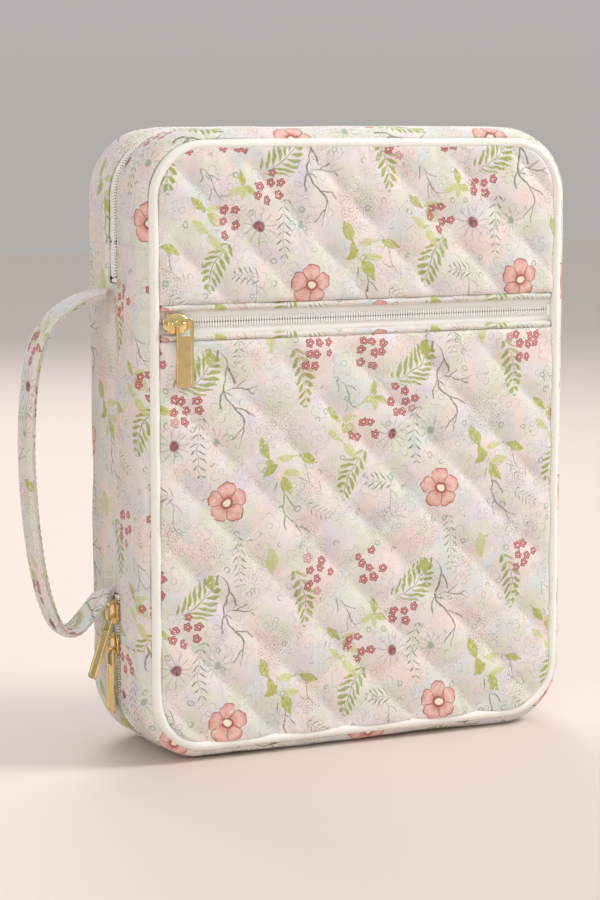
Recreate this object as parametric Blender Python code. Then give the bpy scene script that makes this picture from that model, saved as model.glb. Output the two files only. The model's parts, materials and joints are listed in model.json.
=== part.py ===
"""Knitting bag: an upright, zip-around quilted case with a front pocket and a strap on its spine.

The case stands on its lower edge, its front towards -Y and its spine towards -X, +Z up.
Two halves meet at the main zip. The spine lies between them and folds at both of its long edges,
so the case opens like a book: the cover turns on the spine, and the spine turns on the back half.
Units are metres. Every solid is first made in the case's own axes (x across, y back, z up, with
the middle of the underside at 0, 0, 0) and then hung on the empty at its joint's axis.
"""

import math

import bmesh
import bpy
from mathutils import Matrix, Vector

MM = 0.001

# The case
WIDTH = 215 * MM
HEIGHT = 280 * MM
DEPTH = 70 * MM
CORNER = 30 * MM  # outer corner radius, seen from the front
CORNER_STEPS = 6
CLEARANCE = 0.3 * MM  # between pieces that touch
LEFT = -WIDTH / 2  # outer face of the spine

# Edge walls, measured inwards from the outer surface
GUSSET_THICK = 2.5 * MM
ZIP_SLOT = 11 * MM  # between the front and the back strip of the gusset
WALL_LINING = 0.7 * MM
PIPING_RADIUS = 2.2 * MM
PIPING_INSET = 6.5 * MM  # of the cord's middle, from the side
PIPING_DEPTH = 1.9 * MM  # of the cord's middle, from the front
PIPING_SIDES = 8
PANEL_INSET = PIPING_INSET + PIPING_RADIUS + CLEARANCE
SHOULDER_INSET = PIPING_INSET - PIPING_RADIUS - CLEARANCE  # where a wall's fabric leaves the piping
SHOULDER_DEPTH = 9.5 * MM  # from the face to where the wall is at its fullest
SHOULDER_START = PIPING_DEPTH + 1.1 * MM
SHOULDER_STEPS = 3
SHOULDER_LEAN = 0.9  # how much deeper the fabric's inner face starts, per thickness

# Front and back faces, outside to inside
PANEL_THICK = 4 * MM
STIFFENER_THICK = 2 * MM
STIFFENER_INSET = PIPING_INSET + 0.7 * MM
LINING_THICK = 0.8 * MM
LINING_INSET = PIPING_INSET + 0.5 * MM

# Spine: the stretch that stays with the strap and the zip's ends
SPINE_PAST_CORNER = 12 * MM
STRAP_FROM_FOOT = 74 * MM  # where the strap's ends are sewn in
STRAP_FROM_TOP = 72 * MM
SLOT_PAST_STRAP = 2 * MM  # from a strap end to the zip's slot, low end
SLOT_ABOVE_STRAP = 4 * MM  # the same, high end

# Strap handle
STRAP_WIDTH = 18 * MM
STRAP_THICK = 4 * MM
STRAP_REACH = 41 * MM  # of its middle line, from the spine
STRAP_GAP = 0.6 * MM  # between its ends and the spine
STRAP_FLARE = 1.9  # half width gained per distance from the spine
STRAP_SAMPLES = 5  # per stretch between two route points
STRAP_EDGE = 0.3  # share of the thickness that is cut off each edge
# Route of its middle line: outwards as a share of the reach, height as a share of the ends' distance
STRAP_ROUTE = (
    (0.0, 1.0),
    (0.18, 0.995),
    (0.45, 0.968),
    (0.72, 0.905),
    (0.90, 0.800),
    (0.98, 0.640),
    (1.0, 0.450),
    (0.95, 0.220),
    (0.84, 0.020),
    (0.68, -0.105),
    (0.50, -0.125),
    (0.32, -0.078),
    (0.15, -0.022),
    (0.0, 0.0),
)

# Zips
TAPE_THICK = 0.8 * MM
TAPE_WIDTH = 13 * MM
TAPE_FROM_MIDDLE = 0.8 * MM
COIL_FROM_MIDDLE = 0.3 * MM
COIL_WIDTH = 2.1 * MM
COIL_THICK = 1.3 * MM
COIL_CUT = 0.35 * MM  # off the coil's outer corners
STOP_LENGTH = 1.6 * MM
STOP_WIDTH = 5.4 * MM
STOP_THICK = 1.8 * MM

# Front pocket
POCKET_FROM_TOP = 84 * MM  # of its zip's middle
POCKET_SLOT = 10 * MM
WELT_HEIGHT = 3.2 * MM
WELT_ROUNDING = 0.8 * MM
POCKET_BAG_THICK = 1 * MM
POCKET_BAG_INSET = 8 * MM
POCKET_TAPE_WIDTH = 9 * MM

# Inside
BAND_THICK = 1.4 * MM
BAND_HEIGHT = 22 * MM
BAND_INSET = 16 * MM
BAND_FROM_FOOT = 62 * MM  # of the lowest band's middle
BAND_FROM_TOP = 54 * MM
BAND_MIDDLE_RAISED = 6 * MM  # of the middle band, over halfway between the others
SLIP_POCKET_THICK = 1.0 * MM
SLIP_POCKET_INSET = 9 * MM
SLIP_POCKET_FROM_TOP = 112 * MM
BINDING_HEIGHT = 9 * MM
BINDING_THICK = 0.8 * MM

# Sliders and pulls
SLIDER_FACE = 1.0 * MM  # how far a slider's plate stands out of the fabric
TUNNEL_PAST = 2 * MM  # how far the cutter of a slider's tunnel stands out below
SLIDER_NOSE = 0.62  # width of a plate's ends as a share of its middle
SLIDER_WAIST = 1 / 3  # how far along each half its full width reaches
MAIN_SLIDER_LENGTH = 11 * MM
MAIN_SLIDER_WIDTH = 9 * MM
MAIN_SLIDER_GAP = 4 * MM  # between the two sliders
POCKET_SLIDER_LENGTH = 12.5 * MM
POCKET_SLIDER_WIDTH = 9.4 * MM
BRIDGE_HALF = 4.0 * MM  # half its length
BRIDGE_LEG = 1.2 * MM
BRIDGE_WIDTH = 1.5 * MM
BRIDGE_BAR = 1.0 * MM
BRIDGE_ROOM = 2.4 * MM  # between the plate and the bar
BRIDGE_SUNK = 0.6 * MM
PULL_WIDTH = 8 * MM
PULL_LENGTH = 30 * MM
PULL_THICK = 1.2 * MM
PULL_RAIL = 1.7 * MM
PULL_BAR = 1.3 * MM  # crossbar at the head of a pull
PULL_WINDOW = 6.5 * MM
PULL_CORNER = 1.2 * MM
PULL_WINDOW_CORNER = 0.4 * MM
PULL_CORNER_STEPS = 2
POCKET_SLIDER_START = PANEL_INSET + 2 * CLEARANCE  # its end, from the case's left side

HALF_DEPTH = DEPTH / 2
SPINE_LOW = CORNER + SPINE_PAST_CORNER
SPINE_HIGH = HEIGHT - CORNER - SPINE_PAST_CORNER
STRAP_LOW = STRAP_FROM_FOOT
STRAP_HIGH = HEIGHT - STRAP_FROM_TOP
POCKET_HEIGHT = HEIGHT - POCKET_FROM_TOP
SLIP_POCKET_TOP = HEIGHT - SLIP_POCKET_FROM_TOP
BAND_LOW = BAND_FROM_FOOT
BAND_HIGH = HEIGHT - BAND_FROM_TOP
BAND_HEIGHTS = (BAND_LOW, (BAND_LOW + BAND_HIGH) / 2 + BAND_MIDDLE_RAISED, BAND_HIGH)
SLOT_LOW = STRAP_LOW - SLOT_PAST_STRAP
SLOT_HIGH = STRAP_HIGH + SLOT_ABOVE_STRAP
ZIP_LOW = SLOT_LOW - STOP_LENGTH - 2 * CLEARANCE
ZIP_HIGH = SLOT_HIGH + STOP_LENGTH + 2 * CLEARANCE
TAPE_INSET = GUSSET_THICK + CLEARANCE
COIL_INSET = TAPE_INSET - CLEARANCE - COIL_THICK
WALL_LINING_INSET = TAPE_INSET + TAPE_THICK + CLEARANCE
SLIDER_A_HEIGHT = ZIP_LOW - MAIN_SLIDER_LENGTH / 2 - CLEARANCE
SLIDER_B_HEIGHT = SLIDER_A_HEIGHT - MAIN_SLIDER_LENGTH - MAIN_SLIDER_GAP
POCKET_SLIDER_AT = LEFT + POCKET_SLIDER_START + POCKET_SLIDER_LENGTH / 2
PULL_AXIS = SLIDER_FACE + BRIDGE_ROOM / 2  # height of a crossbar's middle over the fabric
CROSSBAR_AT = BRIDGE_HALF - BRIDGE_LEG - CLEARANCE - PULL_BAR / 2  # from a slider's middle
BRIDGE_TOP = SLIDER_FACE + BRIDGE_ROOM + BRIDGE_BAR
UPPER_PULL_TILT = math.atan2(  # the upper pull lies over the lower slider's bridge
    BRIDGE_TOP + PULL_THICK / 2 + CLEARANCE - PULL_AXIS,
    SLIDER_A_HEIGHT - CROSSBAR_AT - SLIDER_B_HEIGHT - BRIDGE_HALF,
)

# Depths of the stiffeners from each face, and of what is behind the linings, where the wall linings stop
PIPING_REACH = PIPING_DEPTH + PIPING_RADIUS * math.cos(math.pi / PIPING_SIDES)
BACK_BOARD = max(PANEL_THICK, PIPING_REACH) + CLEARANCE
POCKET_BAG_DEPTH = PANEL_THICK + TAPE_THICK + 2 * CLEARANCE
FRONT_BOARD = max(POCKET_BAG_DEPTH + POCKET_BAG_THICK, PIPING_REACH) + CLEARANCE
BEHIND_BOARD = STIFFENER_THICK + LINING_THICK + 2 * CLEARANCE
PAST_SHOULDER = SHOULDER_DEPTH + 2 * CLEARANCE
INNER_DEPTH = {
    1: max(BACK_BOARD + BEHIND_BOARD, PAST_SHOULDER),
    -1: max(FRONT_BOARD + BEHIND_BOARD, PAST_SHOULDER),
}

SMOOTH_ANGLE = math.radians(35)  # below this, the faces of a round piece blend

# Finishes: colour, roughness, metallic
QUILTED = ((0.90, 0.86, 0.85), 0.85, 0.0)
WHITE_CORD = ((0.93, 0.92, 0.88), 0.8, 0.0)
TAPE_WHITE = ((0.94, 0.94, 0.92), 0.75, 0.0)
COIL_WHITE = ((0.96, 0.96, 0.95), 0.4, 0.0)
FOAM = ((0.85, 0.85, 0.83), 0.9, 0.0)
LINING = ((0.93, 0.89, 0.86), 0.8, 0.0)
ELASTIC = ((0.92, 0.90, 0.86), 0.75, 0.0)
GOLD = ((0.83, 0.62, 0.29), 0.25, 1.0)


def clear_scene():
    for item in list(bpy.data.objects):
        bpy.data.objects.remove(item, do_unlink=True)


def axis_empty(name, parent, point):
    """An empty at a point of the case, on a joint's axis."""
    empty = bpy.data.objects.new(name, None)
    bpy.context.scene.collection.objects.link(empty)
    empty["case_point"] = point
    if parent:
        empty.parent = parent
        empty.location = Vector(point) - Vector(parent["case_point"])
    return empty


def finish(item, look):
    """Give a piece a material of its own."""
    colour, roughness, metallic = look
    material = bpy.data.materials.new(item.name)
    material.use_nodes = True
    shader = material.node_tree.nodes["Principled BSDF"]
    shader.inputs["Base Color"].default_value = (*colour, 1.0)
    shader.inputs["Roughness"].default_value = roughness
    shader.inputs["Metallic"].default_value = metallic
    item.data.materials.append(material)


def make_object(name, form, axis):
    """A bmesh in the case's axes becomes an object whose origin is at its joint's axis."""
    bmesh.ops.recalc_face_normals(form, faces=form.faces[:])
    form.transform(Matrix.Translation(-Vector(axis["case_point"])))
    mesh = bpy.data.meshes.new(name)
    form.to_mesh(mesh)
    form.free()
    item = bpy.data.objects.new(name, mesh)
    bpy.context.scene.collection.objects.link(item)
    item.parent = axis
    return item


def make_piece(name, form, axis, look, smooth=False):
    item = make_object(name, form, axis)
    finish(item, look)
    if smooth:
        item.data.shade_smooth()
        item.data.set_sharp_from_angle(angle=SMOOTH_ANGLE)
    return item


def arc(centre_x, centre_z, radius, start_degrees):
    """A quarter turn, clockwise seen from the front."""
    points = []
    for step in range(CORNER_STEPS + 1):
        angle = math.radians(start_degrees - 90 * step / CORNER_STEPS)
        points.append((centre_x + radius * math.cos(angle), centre_z + radius * math.sin(angle)))
    return points


def case_outline(inset):
    """The case's edge seen from the front, moved inwards: top left corner, then clockwise."""
    radius = CORNER - inset
    side = WIDTH / 2 - CORNER
    low, high = CORNER, HEIGHT - CORNER
    return (
        arc(-side, high, radius, 180)
        + arc(side, high, radius, 90)
        + arc(side, low, radius, 0)
        + arc(-side, low, radius, -90)
    )


def outline_between(inset, low_end, high_end):
    """The case's edge from the spine's high end, over the top and round to its low end."""
    left = LEFT + inset
    return [(left, high_end), *case_outline(inset), (left, low_end)]


def loft(rings, ring_closed=True, path_closed=True):
    """Join equal rings of points into a closed body; the ends of an open path are capped."""
    form = bmesh.new()
    rows = [[form.verts.new(point) for point in ring] for ring in rings]
    last = len(rows) if path_closed else len(rows) - 1
    for index in range(last):
        here, after = rows[index], rows[(index + 1) % len(rows)]
        for corner in range(len(here) if ring_closed else len(here) - 1):
            following = (corner + 1) % len(here)
            form.faces.new((here[corner], here[following], after[following], after[corner]))
    if not path_closed:
        form.faces.new(rows[0])
        form.faces.new(rows[-1])
    return form


def edge_band(section, low_end=None, high_end=None):
    """Sweep a section of (inset, y) points round the case's edge, or along it between two ends."""
    if low_end is None:
        paths = [case_outline(inset) for inset, _ in section]
    else:
        paths = [outline_between(inset, low_end, high_end) for inset, _ in section]
    rings = [
        [(path[station][0], y, path[station][1]) for path, (_, y) in zip(paths, section)]
        for station in range(len(paths[0]))
    ]
    return loft(rings, path_closed=low_end is None)


def wall_section(inset, thick, y_start, y_end):
    return [(inset, y_start), (inset + thick, y_start), (inset + thick, y_end), (inset, y_end)]


def coil_section(inset, thick, start, end):
    """A zip coil's section, its outer corners cut off; start and end are across the zip."""
    cut = COIL_CUT if end > start else -COIL_CUT
    return [
        (inset, start + cut),
        (inset + COIL_CUT, start),
        (inset + thick, start),
        (inset + thick, end),
        (inset + COIL_CUT, end),
        (inset, end - cut),
    ]


def plate(outline, y_start, y_end):
    """A flat plate: an outline of (x, z) points between two depths."""
    return loft([[(x, y, z) for x, z in outline] for y in (y_start, y_end)], path_closed=False)


def box(low, high):
    (x0, y0, z0), (x1, y1, z1) = low, high
    return plate([(x0, z0), (x1, z0), (x1, z1), (x0, z1)], y0, y1)


def face_outline(inset, low_cut=None, high_cut=None):
    """A face panel's outline; where it is cut across, its corners are square."""
    points = case_outline(inset)
    quarter = CORNER_STEPS + 1
    top, bottom = points[: 2 * quarter], points[2 * quarter :]
    edge = WIDTH / 2 - inset
    if low_cut is not None:
        bottom = [(edge, low_cut), (-edge, low_cut)]
    if high_cut is not None:
        top = [(-edge, high_cut), (edge, high_cut)]
    return top + bottom


def shoulder(side, thick):
    """A wall fabric's round shoulder behind the piping, as (inset, y) points; thick is how far in."""
    face = side * HALF_DEPTH
    points = []
    for step in range(SHOULDER_STEPS + 1):
        turn = math.pi / 2 * step / SHOULDER_STEPS
        inset = SHOULDER_INSET * (1 - math.sin(turn)) + thick
        start = SHOULDER_START + thick * math.cos(turn) * SHOULDER_LEAN
        depth = start + (SHOULDER_DEPTH - start) * (1 - math.cos(turn))
        points.append((inset, face - side * depth))
    return points


def half_shell(side, name, axis):
    """What both halves have: piping, gusset strip, wall lining and their half of the main zip.

    side is -1 for the front half and 1 for the back half.
    """
    face = side * HALF_DEPTH
    cord_y = face - side * PIPING_DEPTH
    turn = [2 * math.pi * (k + 0.5) / PIPING_SIDES for k in range(PIPING_SIDES)]
    cord = [
        (PIPING_INSET + PIPING_RADIUS * math.cos(a), cord_y + PIPING_RADIUS * math.sin(a))
        for a in turn
    ]
    make_piece(f"{name}_piping", edge_band(cord), axis, WHITE_CORD, smooth=True)

    ends = (SPINE_LOW - CLEARANCE, SPINE_HIGH + CLEARANCE)
    strip = [
        *shoulder(side, 0),
        (0, side * ZIP_SLOT / 2),
        (GUSSET_THICK, side * ZIP_SLOT / 2),
        *reversed(shoulder(side, GUSSET_THICK)),
    ]
    make_piece(f"{name}_gusset", edge_band(strip, *ends), axis, QUILTED)

    edge = face - side * INNER_DEPTH[side]
    lining = wall_section(WALL_LINING_INSET, WALL_LINING, edge, side * CLEARANCE)
    make_piece(f"{name}_wall_lining", edge_band(lining, *ends), axis, LINING)

    zip_ends = (ZIP_LOW, ZIP_HIGH)
    tape_edge = side * (TAPE_FROM_MIDDLE + TAPE_WIDTH)
    tape = wall_section(TAPE_INSET, TAPE_THICK, side * TAPE_FROM_MIDDLE, tape_edge)
    make_piece(f"{name}_zip_tape", edge_band(tape, *zip_ends), axis, TAPE_WHITE)

    coil_edge = side * (COIL_FROM_MIDDLE + COIL_WIDTH)
    coil = coil_section(COIL_INSET, COIL_THICK, side * COIL_FROM_MIDDLE, coil_edge)
    make_piece(f"{name}_zip_coil", edge_band(coil, *zip_ends), axis, COIL_WHITE)


def back_half(axis):
    half_shell(1, "back", axis)
    outside = HALF_DEPTH
    back = plate(case_outline(PANEL_INSET), outside - BACK_BOARD + CLEARANCE, outside)
    make_piece("back_panel", back, axis, QUILTED)

    board = outside - BACK_BOARD
    stiffener = plate(case_outline(STIFFENER_INSET), board - STIFFENER_THICK, board)
    make_piece("back_stiffener", stiffener, axis, FOAM)

    cloth = board - STIFFENER_THICK - CLEARANCE
    lining = plate(case_outline(LINING_INSET), cloth - LINING_THICK, cloth)
    make_piece("back_lining", lining, axis, LINING)

    pocket = cloth - LINING_THICK - CLEARANCE
    cut = face_outline(SLIP_POCKET_INSET, high_cut=SLIP_POCKET_TOP)
    make_piece("slip_pocket", plate(cut, pocket - SLIP_POCKET_THICK, pocket), axis, LINING)

    side = WIDTH / 2 - SLIP_POCKET_INSET
    edge = pocket - SLIP_POCKET_THICK - CLEARANCE
    strip = box(
        (-side, edge - BINDING_THICK, SLIP_POCKET_TOP - BINDING_HEIGHT),
        (side, edge, SLIP_POCKET_TOP),
    )
    make_piece("slip_pocket_binding", strip, axis, WHITE_CORD)


def bar_along_x(x_start, x_end, section):
    """A straight bar whose section is a list of (y, z) points."""
    return loft([[(x, y, z) for y, z in section] for x in (x_start, x_end)], path_closed=False)


def front_face(axis):
    """The cover's face: quilted panels above and below the pocket zip, and what lies behind."""
    outside = -HALF_DEPTH
    inside = outside + PANEL_THICK
    welt_top = POCKET_HEIGHT + POCKET_SLOT / 2 + WELT_HEIGHT
    welt_foot = POCKET_HEIGHT - POCKET_SLOT / 2 - WELT_HEIGHT
    upper = face_outline(PANEL_INSET, low_cut=welt_top + CLEARANCE)
    make_piece("front_panel_upper", plate(upper, outside, inside), axis, QUILTED)
    lower = face_outline(PANEL_INSET, high_cut=welt_foot - CLEARANCE)
    make_piece("front_panel_lower", plate(lower, outside, inside), axis, QUILTED)

    end = WIDTH / 2 - PANEL_INSET
    for name, foot in (("upper", welt_top - WELT_HEIGHT), ("lower", welt_foot)):
        section = [
            (inside, foot),
            (outside + WELT_ROUNDING, foot),
            (outside, foot + WELT_ROUNDING),
            (outside, foot + WELT_HEIGHT - WELT_ROUNDING),
            (outside + WELT_ROUNDING, foot + WELT_HEIGHT),
            (inside, foot + WELT_HEIGHT),
        ]
        make_piece(f"pocket_welt_{name}", bar_along_x(-end, end, section), axis, QUILTED)

    tape_y = inside + CLEARANCE
    for name, way in (("upper", 1), ("lower", -1)):
        near = POCKET_HEIGHT + way * TAPE_FROM_MIDDLE
        far = near + way * POCKET_TAPE_WIDTH
        tape = box((-end, tape_y, min(near, far)), (end, tape_y + TAPE_THICK, max(near, far)))
        make_piece(f"pocket_tape_{name}", tape, axis, TAPE_WHITE)

        across = coil_section(0, COIL_THICK, COIL_FROM_MIDDLE, COIL_FROM_MIDDLE + COIL_WIDTH)
        section = [
            (tape_y - CLEARANCE - COIL_THICK + depth, POCKET_HEIGHT + way * height)
            for depth, height in across
        ]
        coil_end = end - STOP_LENGTH - CLEARANCE
        make_piece(
            f"pocket_coil_{name}", bar_along_x(-end, coil_end, section), axis, COIL_WHITE
        )
    stop = box(
        (end - STOP_LENGTH, inside - STOP_THICK, POCKET_HEIGHT - STOP_WIDTH / 2),
        (end, inside, POCKET_HEIGHT + STOP_WIDTH / 2),
    )
    make_piece("pocket_stop", stop, axis, COIL_WHITE)

    bag_y = outside + POCKET_BAG_DEPTH
    cut = face_outline(POCKET_BAG_INSET, high_cut=POCKET_HEIGHT + POCKET_TAPE_WIDTH)
    make_piece("pocket_bag", plate(cut, bag_y, bag_y + POCKET_BAG_THICK), axis, LINING)

    board = outside + FRONT_BOARD
    stiffener = plate(case_outline(STIFFENER_INSET), board, board + STIFFENER_THICK)
    make_piece("front_stiffener", stiffener, axis, FOAM)

    cloth = board + STIFFENER_THICK + CLEARANCE
    lining = plate(case_outline(LINING_INSET), cloth, cloth + LINING_THICK)
    make_piece("front_lining", lining, axis, LINING)

    band_y = cloth + LINING_THICK + CLEARANCE
    band_side = WIDTH / 2 - BAND_INSET
    for name, middle in zip(("lower", "middle", "upper"), BAND_HEIGHTS):
        band = box(
            (-band_side, band_y, middle - BAND_HEIGHT / 2),
            (band_side, band_y + BAND_THICK, middle + BAND_HEIGHT / 2),
        )
        make_piece(f"needle_band_{name}", band, axis, ELASTIC)


def spine(axis):
    """The spine's fabric, forked at both ends round the zip, its lining and the zip's stops."""
    section = [
        *shoulder(-1, 0),
        *reversed(shoulder(1, 0)),
        *shoulder(1, GUSSET_THICK),
        *reversed(shoulder(-1, GUSSET_THICK)),
    ]
    rings = [[(LEFT + inset, y, z) for inset, y in section] for z in (SPINE_LOW, SPINE_HIGH)]
    panel = make_piece("spine_panel", loft(rings, path_closed=False), axis, QUILTED)
    past = ZIP_SLOT  # the cutters stand clear of the fabric on every open side
    for name, low, high in (
        ("slot_low", SPINE_LOW - past, SLOT_LOW),
        ("slot_high", SLOT_HIGH, SPINE_HIGH + past),
    ):
        cutter = box((LEFT - past, -ZIP_SLOT / 2, low), (LEFT + past, ZIP_SLOT / 2, high))
        add_boolean(panel, add_guide(name, cutter, axis), "DIFFERENCE")

    inner = LEFT + WALL_LINING_INSET
    lining = box(
        (inner, -HALF_DEPTH + INNER_DEPTH[-1], SPINE_LOW),
        (inner + WALL_LINING, HALF_DEPTH - INNER_DEPTH[1], SPINE_HIGH),
    )
    make_piece("spine_lining", lining, axis, LINING)

    for name, foot in (("lower", ZIP_LOW), ("upper", ZIP_HIGH - STOP_LENGTH - 2 * CLEARANCE)):
        low = foot + CLEARANCE
        stop = box(
            (LEFT + GUSSET_THICK - STOP_THICK, -STOP_WIDTH / 2, low),
            (LEFT + GUSSET_THICK, STOP_WIDTH / 2, low + STOP_LENGTH),
        )
        make_piece(f"zip_stop_{name}", stop, axis, COIL_WHITE)


def catmull_rom(before, start, end, after, share):
    """A point on the smooth curve from start to end, passing through both."""
    return 0.5 * (
        2 * start
        + (end - before) * share
        + (2 * before - 5 * start + 4 * end - after) * share**2
        + (3 * start - before - 3 * end + after) * share**3
    )


def strap_line():
    """The strap's middle line as (outwards, height) points."""
    rise = STRAP_HIGH - STRAP_LOW
    route = [
        Vector((STRAP_GAP + out * (STRAP_REACH - STRAP_GAP), STRAP_LOW + up * rise))
        for out, up in STRAP_ROUTE
    ]
    route = [2 * route[0] - route[1], *route, 2 * route[-1] - route[-2]]
    line = []
    for k in range(1, len(route) - 2):
        stretch = route[k - 1 : k + 3]
        line += [catmull_rom(*stretch, step / STRAP_SAMPLES) for step in range(STRAP_SAMPLES)]
    return [*line, route[-2]]


def strap(axis):
    """A flat strap, pinched to nothing wider than its turning room where it meets the spine."""
    line = strap_line()
    rings = []
    for k, here in enumerate(line):
        along = (line[min(k + 1, len(line) - 1)] - line[max(k - 1, 0)]).normalized()
        across = Vector((-along.y, along.x)) * STRAP_THICK / 2
        near = max(here.x - abs(across.x), STRAP_GAP)
        half = min(STRAP_WIDTH / 2, STRAP_FLARE * near)
        bevel = STRAP_EDGE * min(STRAP_THICK, half)
        flat = 1 - 2 * STRAP_EDGE
        section = (
            (-half, flat), (-half + bevel, 1), (half - bevel, 1), (half, flat),
            (half, -flat), (half - bevel, -1), (-half + bevel, -1), (-half, -flat),
        )
        rings.append(
            [
                (LEFT - max(here.x + across.x * level, STRAP_GAP), y, here.y + across.y * level)
                for y, level in section
            ]
        )
    make_piece("strap_handle", loft(rings, path_closed=False), axis, QUILTED, smooth=True)


def slider_axes(middle, outwards, along):
    """A slider's own axes: x across the zip, y along its travel, z out of the fabric."""
    across = along.cross(outwards)
    turn = Matrix((across, along, outwards)).transposed().to_4x4()
    return Matrix.Translation(middle) @ turn


def prism(outline, z_start, z_end):
    """A solid of an (x, y) outline between two heights, in a slider's own axes."""
    return loft([[(x, y, z) for x, y in outline] for z in (z_start, z_end)], path_closed=False)


def add_guide(name, form, axis):
    """A solid that only a Boolean reads."""
    guide = make_object(name, form, axis)
    guide.hide_render = True
    guide.display_type = "WIRE"
    return guide


def add_boolean(item, guide, operation):
    step = item.modifiers.new(guide.name, "BOOLEAN")
    step.operation = operation
    step.object = guide


def slider(name, place, size, depth, axis):
    """A slider: a plate over the coils with a skirt down both sides, and a bridge for the pull."""
    length, width = size
    half, end, nose = width / 2, length / 2, SLIDER_NOSE * width / 2
    waist = SLIDER_WAIST * end
    plan = [
        (-nose, -end), (nose, -end), (half, -waist), (half, waist),
        (nose, end), (-nose, end), (-half, waist), (-half, -waist),
    ]
    body = prism(plan, -depth, SLIDER_FACE)
    body.transform(place)
    item = make_piece(name, body, axis, GOLD)

    room = COIL_FROM_MIDDLE + COIL_WIDTH + CLEARANCE
    channel = [(-room, -length), (room, -length), (room, length), (-room, length)]
    tunnel = prism(channel, -depth - TUNNEL_PAST, COIL_THICK + CLEARANCE - depth)
    tunnel.transform(place)
    add_boolean(item, add_guide(f"{name}_tunnel", tunnel, axis), "DIFFERENCE")

    inner = BRIDGE_HALF - BRIDGE_LEG
    low, under, top = SLIDER_FACE - BRIDGE_SUNK, BRIDGE_TOP - BRIDGE_BAR, BRIDGE_TOP
    arch = [
        (-BRIDGE_HALF, low), (-inner, low), (-inner, under), (inner, under),
        (inner, low), (BRIDGE_HALF, low), (BRIDGE_HALF, top), (-BRIDGE_HALF, top),
    ]
    rings = [[(x, y, z) for y, z in arch] for x in (-BRIDGE_WIDTH / 2, BRIDGE_WIDTH / 2)]
    bridge = loft(rings, path_closed=False)
    bridge.transform(place)
    add_boolean(item, add_guide(f"{name}_bridge", bridge, axis), "UNION")


def rounded_rectangle(half_width, low, high, radius):
    """(x, y) points of a rectangle with round corners."""
    points = []
    corners = (
        (half_width - radius, high - radius, 90),
        (half_width - radius, low + radius, 0),
        (radius - half_width, low + radius, -90),
        (radius - half_width, high - radius, -180),
    )
    for x, y, start in corners:
        for step in range(PULL_CORNER_STEPS + 1):
            angle = math.radians(start - 90 * step / PULL_CORNER_STEPS)
            points.append((x + radius * math.cos(angle), y + radius * math.sin(angle)))
    return points


def pull(name, place, head, axis):
    """A flat pull that hangs along -y of its own axes, its window's top edge at +head."""
    half = PULL_THICK / 2
    outer = rounded_rectangle(
        PULL_WIDTH / 2, head + PULL_BAR - PULL_LENGTH, head + PULL_BAR, PULL_CORNER
    )
    window = rounded_rectangle(
        PULL_WIDTH / 2 - PULL_RAIL, head - PULL_WINDOW, head, PULL_WINDOW_CORNER
    )
    rings = []
    for outline, z in ((outer, -half), (outer, half), (window, half), (window, -half)):
        rings.append([(x, y, z) for x, y in outline])
    form = loft(rings)
    form.transform(place)
    make_piece(name, form, axis, GOLD)


def build():
    clear_scene()
    shift = ((STRAP_REACH + STRAP_THICK / 2) / 2, BRIDGE_TOP / 2, 0)
    bag = axis_empty("bag", None, (0, 0, 0))
    bag.location = shift
    fold_x = LEFT + PIPING_INSET
    fold_y = HALF_DEPTH - PIPING_DEPTH
    spine_fold = axis_empty("spine_fold_axis", bag, (fold_x, fold_y, 0))
    cover_fold = axis_empty("cover_open_axis", spine_fold, (fold_x, -fold_y, 0))
    strap_turn = axis_empty("strap_swing_axis", spine_fold, (LEFT, 0, 0))

    back_half(bag)
    front_face(cover_fold)
    half_shell(-1, "front", cover_fold)
    spine(spine_fold)
    strap(strap_turn)

    outwards, up = Vector((-1, 0, 0)), Vector((0, 0, 1))
    size = (MAIN_SLIDER_LENGTH, MAIN_SLIDER_WIDTH)
    for letter, height, tilt in (
        ("a", SLIDER_A_HEIGHT, UPPER_PULL_TILT),
        ("b", SLIDER_B_HEIGHT, 0.0),
    ):
        middle = Vector((LEFT, 0, height))
        carrier = spine_fold
        if letter == "b":
            carrier = axis_empty("main_slider_b_travel", spine_fold, middle)
        face = slider_axes(middle, outwards, up)
        slider(f"main_slider_{letter}", face, size, GUSSET_THICK, carrier)
        crossbar = middle + outwards * PULL_AXIS - up * CROSSBAR_AT
        hinge = axis_empty(f"main_pull_{letter}_axis", carrier, crossbar)
        place = slider_axes(crossbar, outwards, up) @ Matrix.Rotation(-tilt, 4, "X")
        pull(f"main_pull_{letter}", place, -PULL_BAR / 2, hinge)

    middle = Vector((POCKET_SLIDER_AT, -HALF_DEPTH, POCKET_HEIGHT))
    outwards, along = Vector((0, -1, 0)), Vector((1, 0, 0))
    carrier = axis_empty("pocket_slider_travel", cover_fold, middle)
    size = (POCKET_SLIDER_LENGTH, POCKET_SLIDER_WIDTH)
    slider("pocket_slider", slider_axes(middle, outwards, along), size, PANEL_THICK, carrier)
    leg = middle + along * (BRIDGE_HALF - BRIDGE_LEG / 2) + outwards * PULL_AXIS
    hinge = axis_empty("pocket_pull_axis", carrier, leg)
    place = slider_axes(leg, outwards, Vector((0, 0, 1)))
    pull("pocket_pull", place, BRIDGE_WIDTH / 2 + CLEARANCE, hinge)


build()
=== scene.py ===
# %% [markdown]
# # A quilted knitting bag with a floral print
#
# The real thing is an upright case of quilted cotton. Two halves meet at a zip with two sliders,
# and a spine with a strap handle lies between them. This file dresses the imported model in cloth,
# zips and gilt hardware. It works in metres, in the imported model's own frame, +Z up.

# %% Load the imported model
import json
import math

import bmesh
import bpy
import numpy as np
from mathutils import Matrix, Vector, noise
from mathutils.bvhtree import BVHTree


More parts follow.
